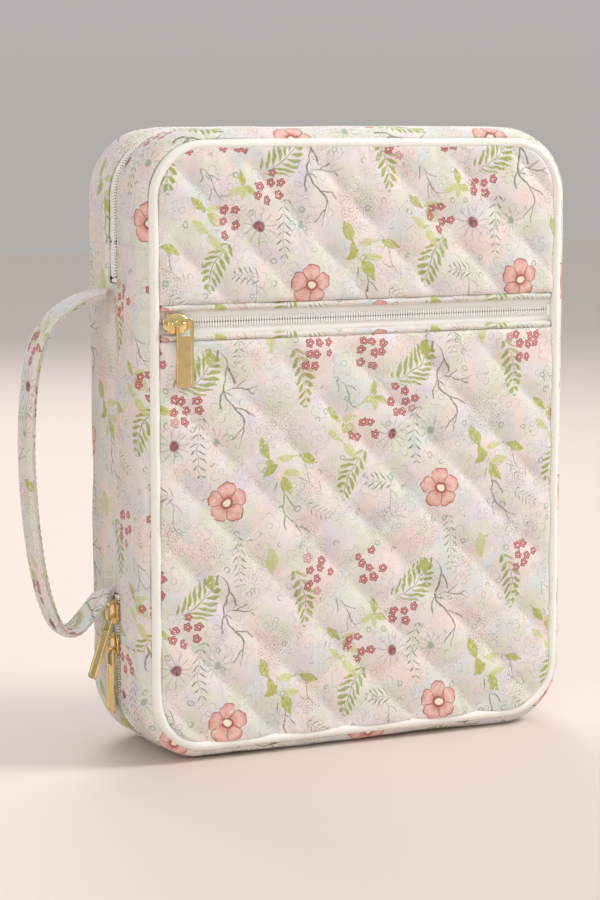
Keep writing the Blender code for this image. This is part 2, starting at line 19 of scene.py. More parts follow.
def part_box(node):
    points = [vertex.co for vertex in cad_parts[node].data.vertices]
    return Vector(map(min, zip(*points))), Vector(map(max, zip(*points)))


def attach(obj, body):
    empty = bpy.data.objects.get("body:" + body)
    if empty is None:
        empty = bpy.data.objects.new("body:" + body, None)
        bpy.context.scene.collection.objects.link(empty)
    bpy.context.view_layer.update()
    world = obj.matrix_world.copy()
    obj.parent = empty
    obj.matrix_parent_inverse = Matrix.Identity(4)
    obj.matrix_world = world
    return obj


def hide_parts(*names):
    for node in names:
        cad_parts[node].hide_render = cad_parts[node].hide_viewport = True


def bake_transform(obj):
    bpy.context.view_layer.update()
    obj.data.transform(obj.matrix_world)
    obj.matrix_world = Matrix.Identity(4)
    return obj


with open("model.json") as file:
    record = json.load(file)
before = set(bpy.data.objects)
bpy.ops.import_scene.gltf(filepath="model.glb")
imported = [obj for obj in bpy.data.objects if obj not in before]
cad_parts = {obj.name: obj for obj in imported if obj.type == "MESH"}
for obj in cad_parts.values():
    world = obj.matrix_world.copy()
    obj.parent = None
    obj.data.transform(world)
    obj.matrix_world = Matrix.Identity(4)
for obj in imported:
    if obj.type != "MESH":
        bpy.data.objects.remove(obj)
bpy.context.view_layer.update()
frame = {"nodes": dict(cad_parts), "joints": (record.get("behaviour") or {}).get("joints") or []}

MM = 0.001

# %% [markdown]
# ## The camera
#
# The bag is seen a little from its spine's side and a little from above, through a long lens, so
# its upright edges stay nearly parallel. The camera is placed on a sphere round a point in the
# bag's middle: azimuth turns it round the bag and elevation lifts it. That is easier to think
# about than a bare position. No cord leaves this object, so nothing else has to come first.

# %% Place the camera
def into_scene(name, data):
    """An object of some data, linked into the scene."""
    thing = bpy.data.objects.new(name, data)
    bpy.context.scene.collection.objects.link(thing)
    return thing


CAMERA_AZIMUTH = math.radians(-25.45)
CAMERA_ELEVATION = math.radians(7.4)
CAMERA_DISTANCE = 1.2
CAMERA_AIM = Vector((0.0063, 0.0022, 0.1323))
CAMERA_LENS = 103.8  # for a 36 mm sensor along the frame's long side

back = Vector((
    math.sin(CAMERA_AZIMUTH) * math.cos(CAMERA_ELEVATION),
    -math.cos(CAMERA_AZIMUTH) * math.cos(CAMERA_ELEVATION),
    math.sin(CAMERA_ELEVATION),
))
camera_data = bpy.data.cameras.new("camera")
camera_data.lens = CAMERA_LENS
camera = into_scene("camera", camera_data)
camera.location = CAMERA_AIM + back * CAMERA_DISTANCE
camera.rotation_euler = back.to_track_quat("Z", "Y").to_euler()
bpy.context.scene.camera = camera
print("camera at", [round(v, 3) for v in camera.location])

# %% [markdown]
# ## Measure the bag
#
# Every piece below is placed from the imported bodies, never by eye. The two pipings give the case's
# box, since each runs right round a face. The case is easier to think about in its own axes (x
# across from the spine, y back, z up from the foot), so `MIDDLE` holds where those axes lie.

# %% Read the case's size from the frame
piping_low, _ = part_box("front_piping")
spine_low, spine_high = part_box("spine_panel")
gusset_low, gusset_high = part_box("front_gusset")
back_low, back_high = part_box("back_panel")
panel_low, panel_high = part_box("front_panel_lower")
upper_low, upper_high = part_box("front_panel_upper")

LEFT, RIGHT = spine_low[0], gusset_high[0]
FOOT, TOP = gusset_low[2], gusset_high[2]
FRONT, REAR = panel_low[1], back_high[1]
MIDDLE_X, MIDDLE_Y, MIDDLE_Z = (LEFT + RIGHT) / 2, (FRONT + REAR) / 2, (FOOT + TOP) / 2
WIDTH, HEIGHT, DEPTH = RIGHT - LEFT, TOP - FOOT, REAR - FRONT
HALF_DEPTH = DEPTH / 2
CORNER = 30 * MM  # outer corner radius, seen from the front
PIPING_INSET = (piping_low[0] - LEFT) + 2.1 * MM  # of the cord's middle, from the side
PIPING_DEPTH = 1.9 * MM
PIPING_RADIUS = 2.3 * MM
PANEL_INSET = panel_low[0] - LEFT
ZIP_SLOT = 11 * MM  # between the two gussets
print(f"case {WIDTH:.3f} x {DEPTH:.3f} x {HEIGHT:.3f} m, panels {PANEL_INSET * 1000:.1f} mm in")

# %% [markdown]
# ## Walking round the case's edge
#
# The gussets, the pipings, the zip and their stitches all follow the same outline: four straight
# sides and four round corners. One function turns a distance walked along that outline into a
# point, so a length of cloth, a row of teeth and a row of stitches can share it. Distance 0 is
# halfway up the spine, and the walk goes up the spine, over the top, down the far side and back.

# %% A point on the outline
STRAIGHT_UP = HEIGHT / 2 - CORNER
QUARTER = CORNER * math.pi / 2
ACROSS = WIDTH - 2 * CORNER
TOP_CORNER = STRAIGHT_UP  # where the walk reaches each corner's start or end
TOP_SIDE = TOP_CORNER + QUARTER
FAR_TOP_CORNER = TOP_SIDE + ACROSS
FAR_SIDE = FAR_TOP_CORNER + QUARTER
FAR_FOOT_CORNER = FAR_SIDE + 2 * STRAIGHT_UP
FOOT_SIDE = FAR_FOOT_CORNER + QUARTER
FOOT_CORNER = FOOT_SIDE + ACROSS
SPINE_FOOT = FOOT_CORNER + QUARTER
AROUND = SPINE_FOOT + STRAIGHT_UP


def corner_point(centre_x, centre_z, degrees, share, inset):
    angle = math.radians(degrees - 90 * share)
    reach = CORNER - inset
    return centre_x + reach * math.cos(angle), centre_z + reach * math.sin(angle)


def edge_point(walked, inset):
    """(x, z) at a distance walked round the outline, moved inwards by inset."""
    walked %= AROUND
    west, east = LEFT + CORNER, RIGHT - CORNER
    low, high = FOOT + CORNER, TOP - CORNER
    if walked < TOP_CORNER:
        return LEFT + inset, MIDDLE_Z + walked
    if walked < TOP_SIDE:
        return corner_point(west, high, 180, (walked - TOP_CORNER) / QUARTER, inset)
    if walked < FAR_TOP_CORNER:
        return west + walked - TOP_SIDE, TOP - inset
    if walked < FAR_SIDE:
        return corner_point(east, high, 90, (walked - FAR_TOP_CORNER) / QUARTER, inset)
    if walked < FAR_FOOT_CORNER:
        return RIGHT - inset, high - (walked - FAR_SIDE)
    if walked < FOOT_SIDE:
        return corner_point(east, low, 0, (walked - FAR_FOOT_CORNER) / QUARTER, inset)
    if walked < FOOT_CORNER:
        return east - (walked - FOOT_SIDE), FOOT + inset
    if walked < SPINE_FOOT:
        return corner_point(west, low, -90, (walked - FOOT_CORNER) / QUARTER, inset)
    return LEFT + inset, low + walked - SPINE_FOOT


def edge_place(walked, inset, y):
    """The same point as (x, y, z), at a depth of the case."""
    x, z = edge_point(walked, inset)
    return x, y, z


def walk(start, end, step):
    """Distances from start to end, about a step apart, with both ends."""
    count = max(2, math.ceil(abs(end - start) / step) + 1)
    return [start + (end - start) * k / (count - 1) for k in range(count)]


def walk_to_height(height, high):
    """The distance walked at a height on the spine, on its way up (high) or at the walk's end."""
    return height - MIDDLE_Z if high else AROUND - (MIDDLE_Z - height)


print(f"once round the case is {AROUND:.3f} m")

# %% [markdown]
# ## Colours as a dyer names them
#
# Blender's sockets hold linear light, while colours are usually named on the 0 to 255 scale of a
# screen. One helper converts, so the recipes below stay readable.

# %% Colours
def dye(red, green, blue):
    """A colour given on the 0 to 255 scale, as the linear colour that a shader reads."""
    light = []
    for level in (red, green, blue):
        share = level / 255
        light.append(share / 12.92 if share <= 0.04045 else ((share + 0.055) / 1.055) ** 2.4)
    return (*light, 1.0)


# %% [markdown]
# ## Arithmetic on shader sockets
#
# The print is drawn by a great deal of small arithmetic. Wiring each Math node by hand would bury
# the drawing in plumbing, so a small class lets a socket be added, multiplied and compared like a
# number. Each operation still makes one ordinary Math node in the tree.

# %% A socket that can be calculated with
class Field:
    def __init__(self, tree, socket):
        self.tree = tree
        self.socket = socket

    def math(self, operation, *others, clamp=False):
        node = self.tree.nodes.new("ShaderNodeMath")
        node.operation = operation
        node.use_clamp = clamp
        feed(self.tree, node, self, *others)
        return Field(self.tree, node.outputs[0])

    def __add__(self, other):
        return self.math("ADD", other)

    def __sub__(self, other):
        return self.math("SUBTRACT", other)

    def __rsub__(self, other):
        return (self * -1.0) + other

    def __mul__(self, other):
        return self.math("MULTIPLY", other)

    def __truediv__(self, other):
        return self.math("DIVIDE", other)

    def __abs__(self):
        return self.math("ABSOLUTE")

    def soft(self, softness):
        """0 below zero and 1 above softness, which gives a drawn edge its width."""
        return self.math("MULTIPLY", 1.0 / softness, clamp=True)

    def either(self, other):
        return self.math("MAXIMUM", other)

    def both(self, other):
        return self.math("MULTIPLY", other)


def feed(tree, node, *values):
    """Give a node's inputs, in order, fields or plain values."""
    for socket, value in zip(node.inputs, values):
        if isinstance(value, Field):
            tree.links.new(value.socket, socket)
        elif value is not None:
            socket.default_value = value


def vector_math(tree, operation, *values):
    node = tree.nodes.new("ShaderNodeVectorMath")
    node.operation = operation
    feed(tree, node, *values)
    return Field(tree, node.outputs["Vector"])


def in_millimetres(tree, vector):
    scaled = vector_math(tree, "SCALE", vector)
    scaled.socket.node.inputs["Scale"].default_value = 1 / MM
    return scaled


def length_of(one_way, other_way):
    return ((one_way * one_way) + (other_way * other_way)).math("SQRT")


def parts_of(vector):
    node = vector.tree.nodes.new("ShaderNodeSeparateXYZ")
    feed(vector.tree, node, vector)
    return Field(vector.tree, node.outputs["X"]), Field(vector.tree, node.outputs["Y"])


def noise_field(tree, vector, scale, detail=2.0, roughness=0.5, output="Fac", flat=True):
    node = tree.nodes.new("ShaderNodeTexNoise")
    node.noise_dimensions = "2D" if flat else "3D"
    tree.links.new(vector.socket, node.inputs["Vector"])
    node.inputs["Scale"].default_value = scale
    node.inputs["Detail"].default_value = detail
    node.inputs["Roughness"].default_value = roughness
    return Field(tree, node.outputs[output])


def cells(tree, vector, scale, randomness=1.0, output="Distance"):
    node = tree.nodes.new("ShaderNodeTexVoronoi")
    node.voronoi_dimensions = "2D"
    tree.links.new(vector.socket, node.inputs["Vector"])
    node.inputs["Scale"].default_value = scale
    node.inputs["Randomness"].default_value = randomness
    return Field(tree, node.outputs[output])


def tint(under, mask, over):
    """A colour laid over another where the mask is 1."""
    tree = mask.tree
    node = tree.nodes.new("ShaderNodeMix")
    node.data_type = "RGBA"
    tree.links.new(mask.socket, node.inputs["Factor"])
    for name, colour in (("A", under), ("B", over)):
        socket = [s for s in node.inputs if s.name == name and s.type == "RGBA"][0]
        if isinstance(colour, Field):
            tree.links.new(colour.socket, socket)
        else:
            socket.default_value = colour
    return Field(tree, [s for s in node.outputs if s.type == "RGBA"][0])


SOCKETS = {
    "float": "NodeSocketFloat",
    "vector": "NodeSocketVector",
    "colour": "NodeSocketColor",
}


def new_group(name, inputs, outputs):
    """An empty shader group; returns its tree, its inputs as fields, and its output node."""
    tree = bpy.data.node_groups.new(name, "ShaderNodeTree")
    for label, kind, default in inputs:
        socket = tree.interface.new_socket(label, in_out="INPUT", socket_type=SOCKETS[kind])
        if default is not None:
            socket.default_value = default
    for label, kind in outputs:
        tree.interface.new_socket(label, in_out="OUTPUT", socket_type=SOCKETS[kind])
    entry = tree.nodes.new("NodeGroupInput")
    fields = {label: Field(tree, entry.outputs[label]) for label, _, _ in inputs}
    return tree, fields, tree.nodes.new("NodeGroupOutput")


def give(leave, **results):
    """Wire a group's results to its output node."""
    for label, field in results.items():
        field.tree.links.new(field.socket, leave.inputs[label])


def use_group(tree, group, **values):
    """Place a group in a tree and return its outputs by name."""
    node = tree.nodes.new("ShaderNodeGroup")
    node.node_tree = group
    for label, value in values.items():
        socket = node.inputs[label.replace("_", " ")]
        if isinstance(value, Field):
            tree.links.new(value.socket, socket)
        else:
            socket.default_value = value
    return {socket.name: Field(tree, socket) for socket in node.outputs}


# %% [markdown]
# ## The printed motifs
#
# The cotton is printed with one design that repeats like wallpaper, about 107 mm across and 100 mm
# up. Drawing it from one noise would look like camouflage; the real print has flowers, sprigs and
# ferns that an eye can name. So each kind of motif is a group that draws one motif anywhere in the
# repeat. All of them wrap round the repeat's edges, so no seam shows where two repeats meet.

# %% Where a motif sits in the repeat
REPEAT = (107.0, 100.0)  # millimetres across and up
PLACED = [
    ("Vector", "vector", None),
    ("Across", "float", 0.0),
    ("Up", "float", 0.0),
    ("Turn", "float", 0.0),
]

place_group, given, leave = new_group("print_place", PLACED, [("Vector", "vector")])
corner = place_group.nodes.new("ShaderNodeCombineXYZ")
feed(place_group, corner, given["Across"], given["Up"])
from_motif = vector_math(
    place_group, "SUBTRACT", given["Vector"], Field(place_group, corner.outputs[0])
)
wrapped = vector_math(
    place_group,
    "WRAP",
    from_motif,
    (REPEAT[0] / 2, REPEAT[1] / 2, 1.0),
    (-REPEAT[0] / 2, -REPEAT[1] / 2, -1.0),
)
turned = place_group.nodes.new("ShaderNodeVectorRotate")
turned.rotation_type = "Z_AXIS"
place_group.links.new(wrapped.socket, turned.inputs["Vector"])
place_group.links.new((given["Turn"] * -1.0).socket, turned.inputs["Angle"])
place_group.links.new(turned.outputs[0], leave.inputs["Vector"])


def placed(tree, given):
    """A motif's own (along, across) millimetres, inside its group."""
    local = use_group(tree, place_group, **{label: given[label] for label, _, _ in PLACED})
    return parts_of(local["Vector"])


# %% One painted leaf
leaf_group, given, leave = new_group(
    "print_leaf",
    [*PLACED, ("Length", "float", 9.0), ("Half Width", "float", 2.0)],
    [("Leaf", "float"), ("Vein", "float")],
)
along, across = placed(leaf_group, given)
share = along / given["Length"]
belly = (share * (1.0 - share)).math("MAXIMUM", 0.0) * (given["Half Width"] * 4.0)
belly = belly * (1.25 - share * 0.5)
inside = belly - abs(across)
rim = (0.45 - inside).soft(0.4)
rib = (0.22 - abs(across)).soft(0.2)
give(leave, Leaf=inside.soft(0.35), Vein=rim.either(rib).both(inside.soft(0.2)))

# %% A stem with leaflets down both sides
sprig_group, given, leave = new_group(
    "print_sprig",
    [
        *PLACED,
        ("Length", "float", 20.0),
        ("Bend", "float", 0.0),
        ("Spacing", "float", 3.0),
        ("Leaflet", "float", 5.0),
        ("Half Width", "float", 0.8),
        ("Lean", "float", 0.7),
        ("Stem", "float", 0.25),
    ],
    [("Leaflets", "float"), ("Stem", "float")],
)
along, across = placed(sprig_group, given)
share = along / given["Length"]
across = across + (share * (1.0 - share)) * given["Bend"]
side = abs(across)
taper = ((share * (1.0 - share)) * 4.0).math("SQRT")
leaned = (along - side * given["Lean"]) / given["Spacing"]
off_axis = abs(leaned.math("FRACT") - 0.5) * given["Spacing"]
out = side / (given["Leaflet"] * taper)
fullness = (out * (1.0 - out)) * 4.0
edge = fullness * given["Half Width"] - off_axis
give(leave, Leaflets=edge.soft(0.4), Stem=(given["Stem"] * taper - side).soft(0.25))

# %% A wandering stem with side shoots
vine_group, given, leave = new_group(
    "print_vine",
    [
        *PLACED,
        ("Length", "float", 30.0),
        ("Swing", "float", 3.0),
        ("Waves", "float", 0.25),
        ("Spacing", "float", 9.0),
        ("Shoot", "float", 6.0),
        ("Thick", "float", 0.3),
    ],
    [("Line", "float")],
)
along, across = placed(vine_group, given)
share = along / given["Length"]
taper = ((share * (1.0 - share)) * 4.0).math("SQRT")
across = across - (along * given["Waves"]).math("SINE") * given["Swing"]
main = (given["Thick"] * taper - abs(across)).soft(0.3)
place = (along / given["Spacing"]).math("FRACT") * given["Spacing"]
way = (along / (given["Spacing"] * 2.0)).math("FRACT").math("GREATER_THAN", 0.5) * 2.0 - 1.0
off_shoot = abs(across * way - place * (1.15 - place * 0.05))
reach = (given["Shoot"] * taper - place).soft(1.0)
shoot = (given["Thick"] * 0.8 - off_shoot * 0.7).soft(0.3).both(reach)
give(leave, Line=main.either(shoot).both((taper - 0.05).soft(0.1)))

# %% The large five-petalled flower
BLOSSOM = 9.6  # millimetres from its middle to a petal's tip

blossom_group, given, leave = new_group(
    "print_blossom",
    [*PLACED, ("Radius", "float", BLOSSOM)],
    [("Petals", "float"), ("Outline", "float"), ("Heart", "float"), ("Shade", "float")],
)
along, across = placed(blossom_group, given)
radius = length_of(along, across)
angle = across.math("ARCTAN2", along)
lobe = abs((angle * 2.5).math("COSINE"))
wobble = (angle * 15.0).math("SINE") * 0.022
tip = given["Radius"] * (lobe.math("POWER", 0.38) * 0.34 + 0.64 + wobble)
inside = tip - radius
gap = (0.36 - lobe * radius * 0.30).soft(0.4).both((radius - 2.2).soft(1.0))
border = (0.7 - inside).soft(0.4)
give(
    leave, Petals=inside.soft(0.4), Outline=border.either(gap).both(inside.soft(0.2)),
    Heart=(2.0 - radius).soft(0.5), Shade=radius / given["Radius"],
)

# %% A round patch that other drawing is kept inside
patch_group, given, leave = new_group(
    "print_patch",
    [*PLACED, ("Radius", "float", 6.0), ("Fade", "float", 0.3)],
    [("Patch", "float"), ("Distance", "float"), ("Angle", "float")],
)
along, across = placed(patch_group, given)
radius = length_of(along, across)
fade = 1.0 - radius / given["Radius"]
mask = (fade / given["Fade"]).math("ADD", 0.0, clamp=True)
give(leave, Patch=mask, Distance=radius, Angle=across.math("ARCTAN2", along))
print("print motifs:", [group.name for group in bpy.data.node_groups])

# %% [markdown]
# ## The whole print
#
# A textile designer lays a repeat out by hand. In this cell each row below is one motif, placed in
# millimetres from the middle of the large coral flower. The motifs are painted from the faintest to
# the strongest, like the screens of a printed cloth. A small wobble of the coordinates gives every
# line a drawn edge.

# %% The design's motifs
# across, up, turn in degrees, length, half width
BRIGHT_LEAVES = (
    (20.0, 18.5, 110, 11.0, 2.4),
    (24.0, 15.8, 222, 8.5, 2.1),
    (20.0, 19.0, -78, 8.5, 2.0),
    (26.2, 10.5, -58, 11.0, 2.5),
    (35.5, 19.0, -22, 10.5, 1.9),
    (57.0, 32.5, -34, 10.5, 2.7),
    (49.5, 40.0, -46, 10.0, 1.9),
    (-7.0, 60.5, 98, 8.0, 2.6),
    (-33.0, 44.0, 98, 7.5, 1.9),
    (-33.0, 44.0, -28, 8.0, 1.8),
)
PALE_LEAVES = (
    (23.5, 18.0, 5, 10.0, 1.8),
    (26.5, 11.3, 3, 9.5, 1.9),
    (50.0, 29.5, -37, 9.5, 1.9),
    (57.0, 23.5, -46, 11.0, 2.0),
    (56.5, 34.0, 8, 8.5, 1.6),
    (-33.0, 44.0, 205, 8.5, 1.9),
    (-33.0, 44.0, -95, 6.5, 1.5),
    (21.0, -22.0, -84, 13.0, 2.6),
)
# across, up, turn, length, bend, spacing, leaflet, half width, lean, stem
FERNS = (
    (-24.0, 51.0, 40, 25.0, 15.0, 3.3, 8.5, 1.30, 0.9, 0.30),
    (32.5, 68.0, -78, 28.0, -11.0, 3.7, 5.2, 1.45, 0.8, 0.25),
    (-37.5, 20.0, -117, 25.0, 14.0, 3.3, 6.4, 1.25, 0.8, 0.30),
)
TWIGS = (
    (-10.5, 40.0, -93, 30.0, 10.0, 3.5, 4.0, 0.62, 0.8, 0.22),
    (4.0, -11.0, -90, 28.0, -9.0, 3.1, 3.6, 0.55, 0.8, 0.20),
    (-24.0, 3.0, 172, 15.0, 5.0, 2.8, 4.6, 0.60, 0.9, 0.20),
    (38.0, -2.0, -28, 17.0, 5.0, 2.6, 3.4, 0.50, 0.9, 0.18),
)
# across, up, turn, length, swing, waves, spacing, shoot, thickness
VINES = (
    (-4.0, 68.0, -74, 45.0, 2.6, 0.24, 9.0, 8.5, 0.60),
    (-1.0, 49.5, 6, 17.0, 0.9, 0.40, 6.0, 5.0, 0.45),
    (24.0, 8.0, -66, 34.0, 1.7, 0.30, 8.0, 7.0, 0.45),
    (-53.0, 52.5, -52, 19.0, 1.0, 0.35, 5.0, 6.5, 0.40),
    (-31.0, 5.0, -62, 24.0, 2.0, 0.30, 6.0, 6.0, 0.32),
    (46.0, 3.0, 128, 22.0, 1.8, 0.30, 6.5, 5.5, 0.32),
)
# across, up, radius
BERRIES = ((-36.0, 66.0, 8.5), (-20.0, 43.0, 8.0), (-40.5, 29.0, 7.0), (43.5, 65.0, 8.5))
STIPPLES = (
    (24.0, 33.0, 12.5), (-28.0, -14.0, 10.5), (43.0, -22.0, 9.5), (-9.0, 80.0, 9.0),
    (40.0, 3.0, 8.0), (12.0, -30.0, 8.5),
)
DAISIES = ((-25.0, 26.5, 9.0), (-4.5, 27.0, 7.0), (11.0, 62.0, 6.0))

# %% Paint the design
GROUND = dye(238, 230, 229)
WASH_LILAC = dye(229, 221, 230)
WASH_AQUA = dye(221, 229, 228)
WASH_ROSE = dye(243, 224, 218)
WASH_MOSS = dye(229, 231, 214)
LEAF_BRIGHT = dye(188, 194, 96)
LEAF_DEEP = dye(136, 146, 66)
LEAF_PALE = dye(210, 213, 156)
FERN_GREEN = dye(160, 172, 88)
TWIG_GREY = dye(118, 118, 96)
VINE_GREY = dye(118, 118, 96)
BERRY_DARK = dye(136, 62, 72)
BERRY_ROSE = dye(220, 138, 138)
BERRY_HEART = dye(246, 226, 214)
STIPPLE_BROWN = dye(168, 134, 136)
RING_GREEN = dye(150, 172, 150)
GHOST_GREY = dye(146, 156, 154)
PENCIL_GREY = dye(134, 124, 116)
CORAL_LIGHT = dye(241, 196, 184)
CORAL_DEEP = dye(214, 120, 112)
CORAL_LINE = dye(138, 76, 70)
CREAM = dye(250, 240, 214)

print_group, given, leave = new_group(
    "floral_print", [("Vector", "vector", None)], [("Color", "colour")]
)
flat = in_millimetres(print_group, given["Vector"])
wander = noise_field(print_group, flat, 0.16, 1.0, output="Color")
wobble = vector_math(print_group, "SUBTRACT", wander, (0.5, 0.5, 0.5))
cloth = vector_math(print_group, "MULTIPLY_ADD", wobble, (2.2, 2.2, 0.0), flat)
brush = noise_field(print_group, flat, 0.55, 3.0, 0.65)


def motif(group, across, up, turn, **values):
    return use_group(
        print_group, group, Vector=cloth, Across=across, Up=up, Turn=math.radians(turn), **values
    )


paint = Field(print_group, print_group.nodes.new("ShaderNodeRGB").outputs[0])
paint.socket.default_value = GROUND
for number, (colour, size) in enumerate(
    ((WASH_LILAC, 19.0), (WASH_AQUA, 23.0), (WASH_ROSE, 21.0), (WASH_MOSS, 17.0))
):
    shifted = vector_math(print_group, "ADD", flat, (37.0 * number, 91.0 * number, 0.0))
    pool = noise_field(print_group, shifted, 1 / size, 2.0, 0.55)
    paint = tint(paint, ((pool - 0.50) * 5.5).math("MINIMUM", 0.9).soft(1.0), colour)


def small_flowers(spacing, randomness, core, petal):
    """Flowers at scattered places: room inside their edge, distance from their middle, middle."""
    middle = cells(print_group, cloth, 1 / spacing, randomness, output="Position")
    one_way, other_way = parts_of(vector_math(print_group, "SUBTRACT", cloth, middle))
    away = length_of(one_way, other_way)
    lobes = abs((other_way.math("ARCTAN2", one_way) * 2.5).math("COSINE"))
    return lobes * petal + core - away, away, middle


def drawn_line(room, half_width):
    """A line where the room is nothing."""
    return (half_width - abs(room)).soft(0.25)


ghost, ghost_away, _ = small_flowers(14.0, 0.8, 3.2, 2.2)
faint = drawn_line(ghost, 0.2).either(drawn_line(ghost_away - 1.3, 0.2))
paint = tint(paint, faint * (brush * 1.7), GHOST_GREY)

floret, floret_away, _ = small_flowers(3.6, 0.8, 0.95, 0.8)
scribble = drawn_line(floret, 0.2).either((0.4 - floret_away).soft(0.2))
busy = (noise_field(print_group, flat, 0.13, 2.0) - 0.46).soft(0.1)
paint = tint(paint, (scribble * busy) * (brush * 0.8), PENCIL_GREY)
for across, up, radius in STIPPLES:
    patch = motif(patch_group, across, up, 0, Radius=radius, Fade=0.4)["Patch"]
    paint = tint(paint, (scribble * patch) * 0.95, STIPPLE_BROWN)

for across, up, radius in DAISIES:
    spot = motif(patch_group, across, up, 0, Radius=radius, Fade=0.3)
    rays = ((spot["Angle"] * 11.0).math("SINE") - 0.72).soft(0.3)
    away = (spot["Distance"] - 2.4).soft(0.5)
    paint = tint(paint, (rays * spot["Patch"]).both(away) * 0.45, TWIG_GREY)

for across, up, turn, length, swing, waves, spacing, shoot, thick in VINES:
    line = motif(
        vine_group, across, up, turn, Length=length, Swing=swing, Waves=waves,
        Spacing=spacing, Shoot=shoot, Thick=thick,
    )["Line"]
    paint = tint(paint, line * (brush + 0.3), VINE_GREY)

for rows, colour, strength in ((TWIGS, TWIG_GREY, 0.95), (FERNS, FERN_GREEN, 1.05)):
    for across, up, turn, length, bend, spacing, leaflet, half, lean, stem in rows:
        drawn = motif(
            sprig_group, across, up, turn, Length=length, Bend=bend, Spacing=spacing,
            Leaflet=leaflet, Half_Width=half, Lean=lean, Stem=stem,
        )
        leaflets = drawn["Leaflets"] * ((brush + 0.35) * strength).math("MINIMUM", 1.0)
        paint = tint(paint, leaflets, colour)
        paint = tint(paint, drawn["Stem"] * 0.85, TWIG_GREY)

for rows, light, dark in (
    (PALE_LEAVES, LEAF_PALE, LEAF_BRIGHT), (BRIGHT_LEAVES, LEAF_BRIGHT, LEAF_DEEP)
):
    for across, up, turn, length, half in rows:
        leaf = motif(leaf_group, across, up, turn, Length=length, Half_Width=half)
        paint = tint(paint, leaf["Leaf"] * ((brush * 1.6 + 0.05).math("MINIMUM", 1.0)), light)
        paint = tint(paint, leaf["Vein"] * (brush * 1.2).math("MINIMUM", 0.8), dark)

scatter = cells(print_group, cloth, 1 / 10.5, 0.9) * 10.5
sparse = (noise_field(print_group, flat, 0.09) - 0.54).soft(0.04)
ring = (0.42 - abs(scatter - 1.1)).soft(0.3)
paint = tint(paint, (ring * sparse) * 0.8, RING_GREEN)

bloom, bloom_away, bloom_middle = small_flowers(5.4, 0.6, 1.6, 0.6)
petals_edge = drawn_line(bloom - 0.3, 0.32).either(drawn_line(bloom_away - 0.8, 0.28))
for across, up, radius in BERRIES:
    blush = motif(patch_group, across, up, 0, Radius=radius * 1.3, Fade=0.8)["Patch"]
    paint = tint(paint, blush * 0.6, WASH_ROSE)
    sharp = use_group(
        print_group, patch_group, Vector=bloom_middle, Across=across, Up=up, Turn=0.0,
        Radius=radius, Fade=0.05,
    )["Patch"]
    paint = tint(paint, bloom.soft(0.35).both(sharp) * 0.9, BERRY_ROSE)
    paint = tint(paint, petals_edge.both(sharp) * (brush + 0.45).math("MINIMUM", 1.0), BERRY_DARK)
    paint = tint(paint, (0.5 - bloom_away).soft(0.25).both(sharp), BERRY_HEART)

heart = motif(patch_group, DAISIES[0][0], DAISIES[0][1], 0, Radius=2.9, Fade=0.35)["Patch"]
paint = tint(paint, heart * (brush + 0.4).math("MINIMUM", 1.0), BERRY_DARK)
heart = motif(patch_group, DAISIES[1][0], DAISIES[1][1], 0, Radius=2.2, Fade=0.5)["Patch"]
paint = tint(paint, heart * 0.8, RING_GREEN)

flower = motif(blossom_group, 0.0, 0.0, 18)
paint = tint(paint, flower["Petals"] * 0.92, CORAL_LIGHT)
edgewise = abs(flower["Shade"] - 0.62) * 2.4  # deeper at a petal's foot and at its tip
inner = (edgewise - 0.12 + (brush - 0.5) * 1.4).math("MULTIPLY", 0.95, clamp=True)
paint = tint(paint, flower["Petals"].both(inner), CORAL_DEEP)
paint = tint(paint, flower["Outline"] * 0.85, CORAL_LINE)
rim = (3.0 - flower["Shade"] * BLOSSOM).soft(0.6)
paint = tint(paint, rim * 0.8, CORAL_LINE)
paint = tint(paint, flower["Heart"], CREAM)
give(leave, Color=paint)
print("nodes in the print:", len(print_group.nodes))

# %% [markdown]
# ## The feel of the cloth
#
# Quilting cotton is a plain weave: threads go over and under at about three to the millimetre.
# Modelling threads would take millions of faces, so two crossed waves stand for the weave. They
# drive the Normal, through a Bump node, and a little of the colour. The same group serves the
# linings at other scales, and a second one draws the ribs of tapes, piping and elastic.

# %% Weave, lengthwise ribs and wear as groups
weave_group, given, leave = new_group(
    "plain_weave",
    [("Vector", "vector", None), ("Thread", "float", 0.34), ("Slub", "float", 0.4)],
    [("Height", "float"), ("Shade", "float")],
)
millimetres = in_millimetres(weave_group, given["Vector"])
one_way, other_way = parts_of(millimetres)
over = ((one_way / given["Thread"]) * math.pi).math("SINE")
under = ((other_way / given["Thread"]) * math.pi).math("SINE")
slub = noise_field(weave_group, millimetres, 0.9, 3.0, 0.6)
threads = over * under
give(leave, Height=threads * 0.5 + slub * given["Slub"], Shade=slub * 0.16 + threads * 0.07)

rib_group, given, leave = new_group(
    "fine_ribs",
    [("Vector", "vector", None), ("Pitch", "float", 0.8), ("Lengthwise", "float", 0.0)],
    [("Height", "float"), ("Shade", "float")],
)
millimetres = in_millimetres(rib_group, given["Vector"])
one_way, other_way = parts_of(millimetres)
across_ribs = one_way * (1.0 - given["Lengthwise"]) + other_way * given["Lengthwise"]
ribs = ((across_ribs / given["Pitch"]) * (2 * math.pi)).math("SINE")
fuzz = noise_field(rib_group, millimetres, 1.6, 3.0, 0.6)
give(leave, Height=ribs * 0.5 + fuzz * 0.5, Shade=ribs * 0.03 + fuzz * 0.08)

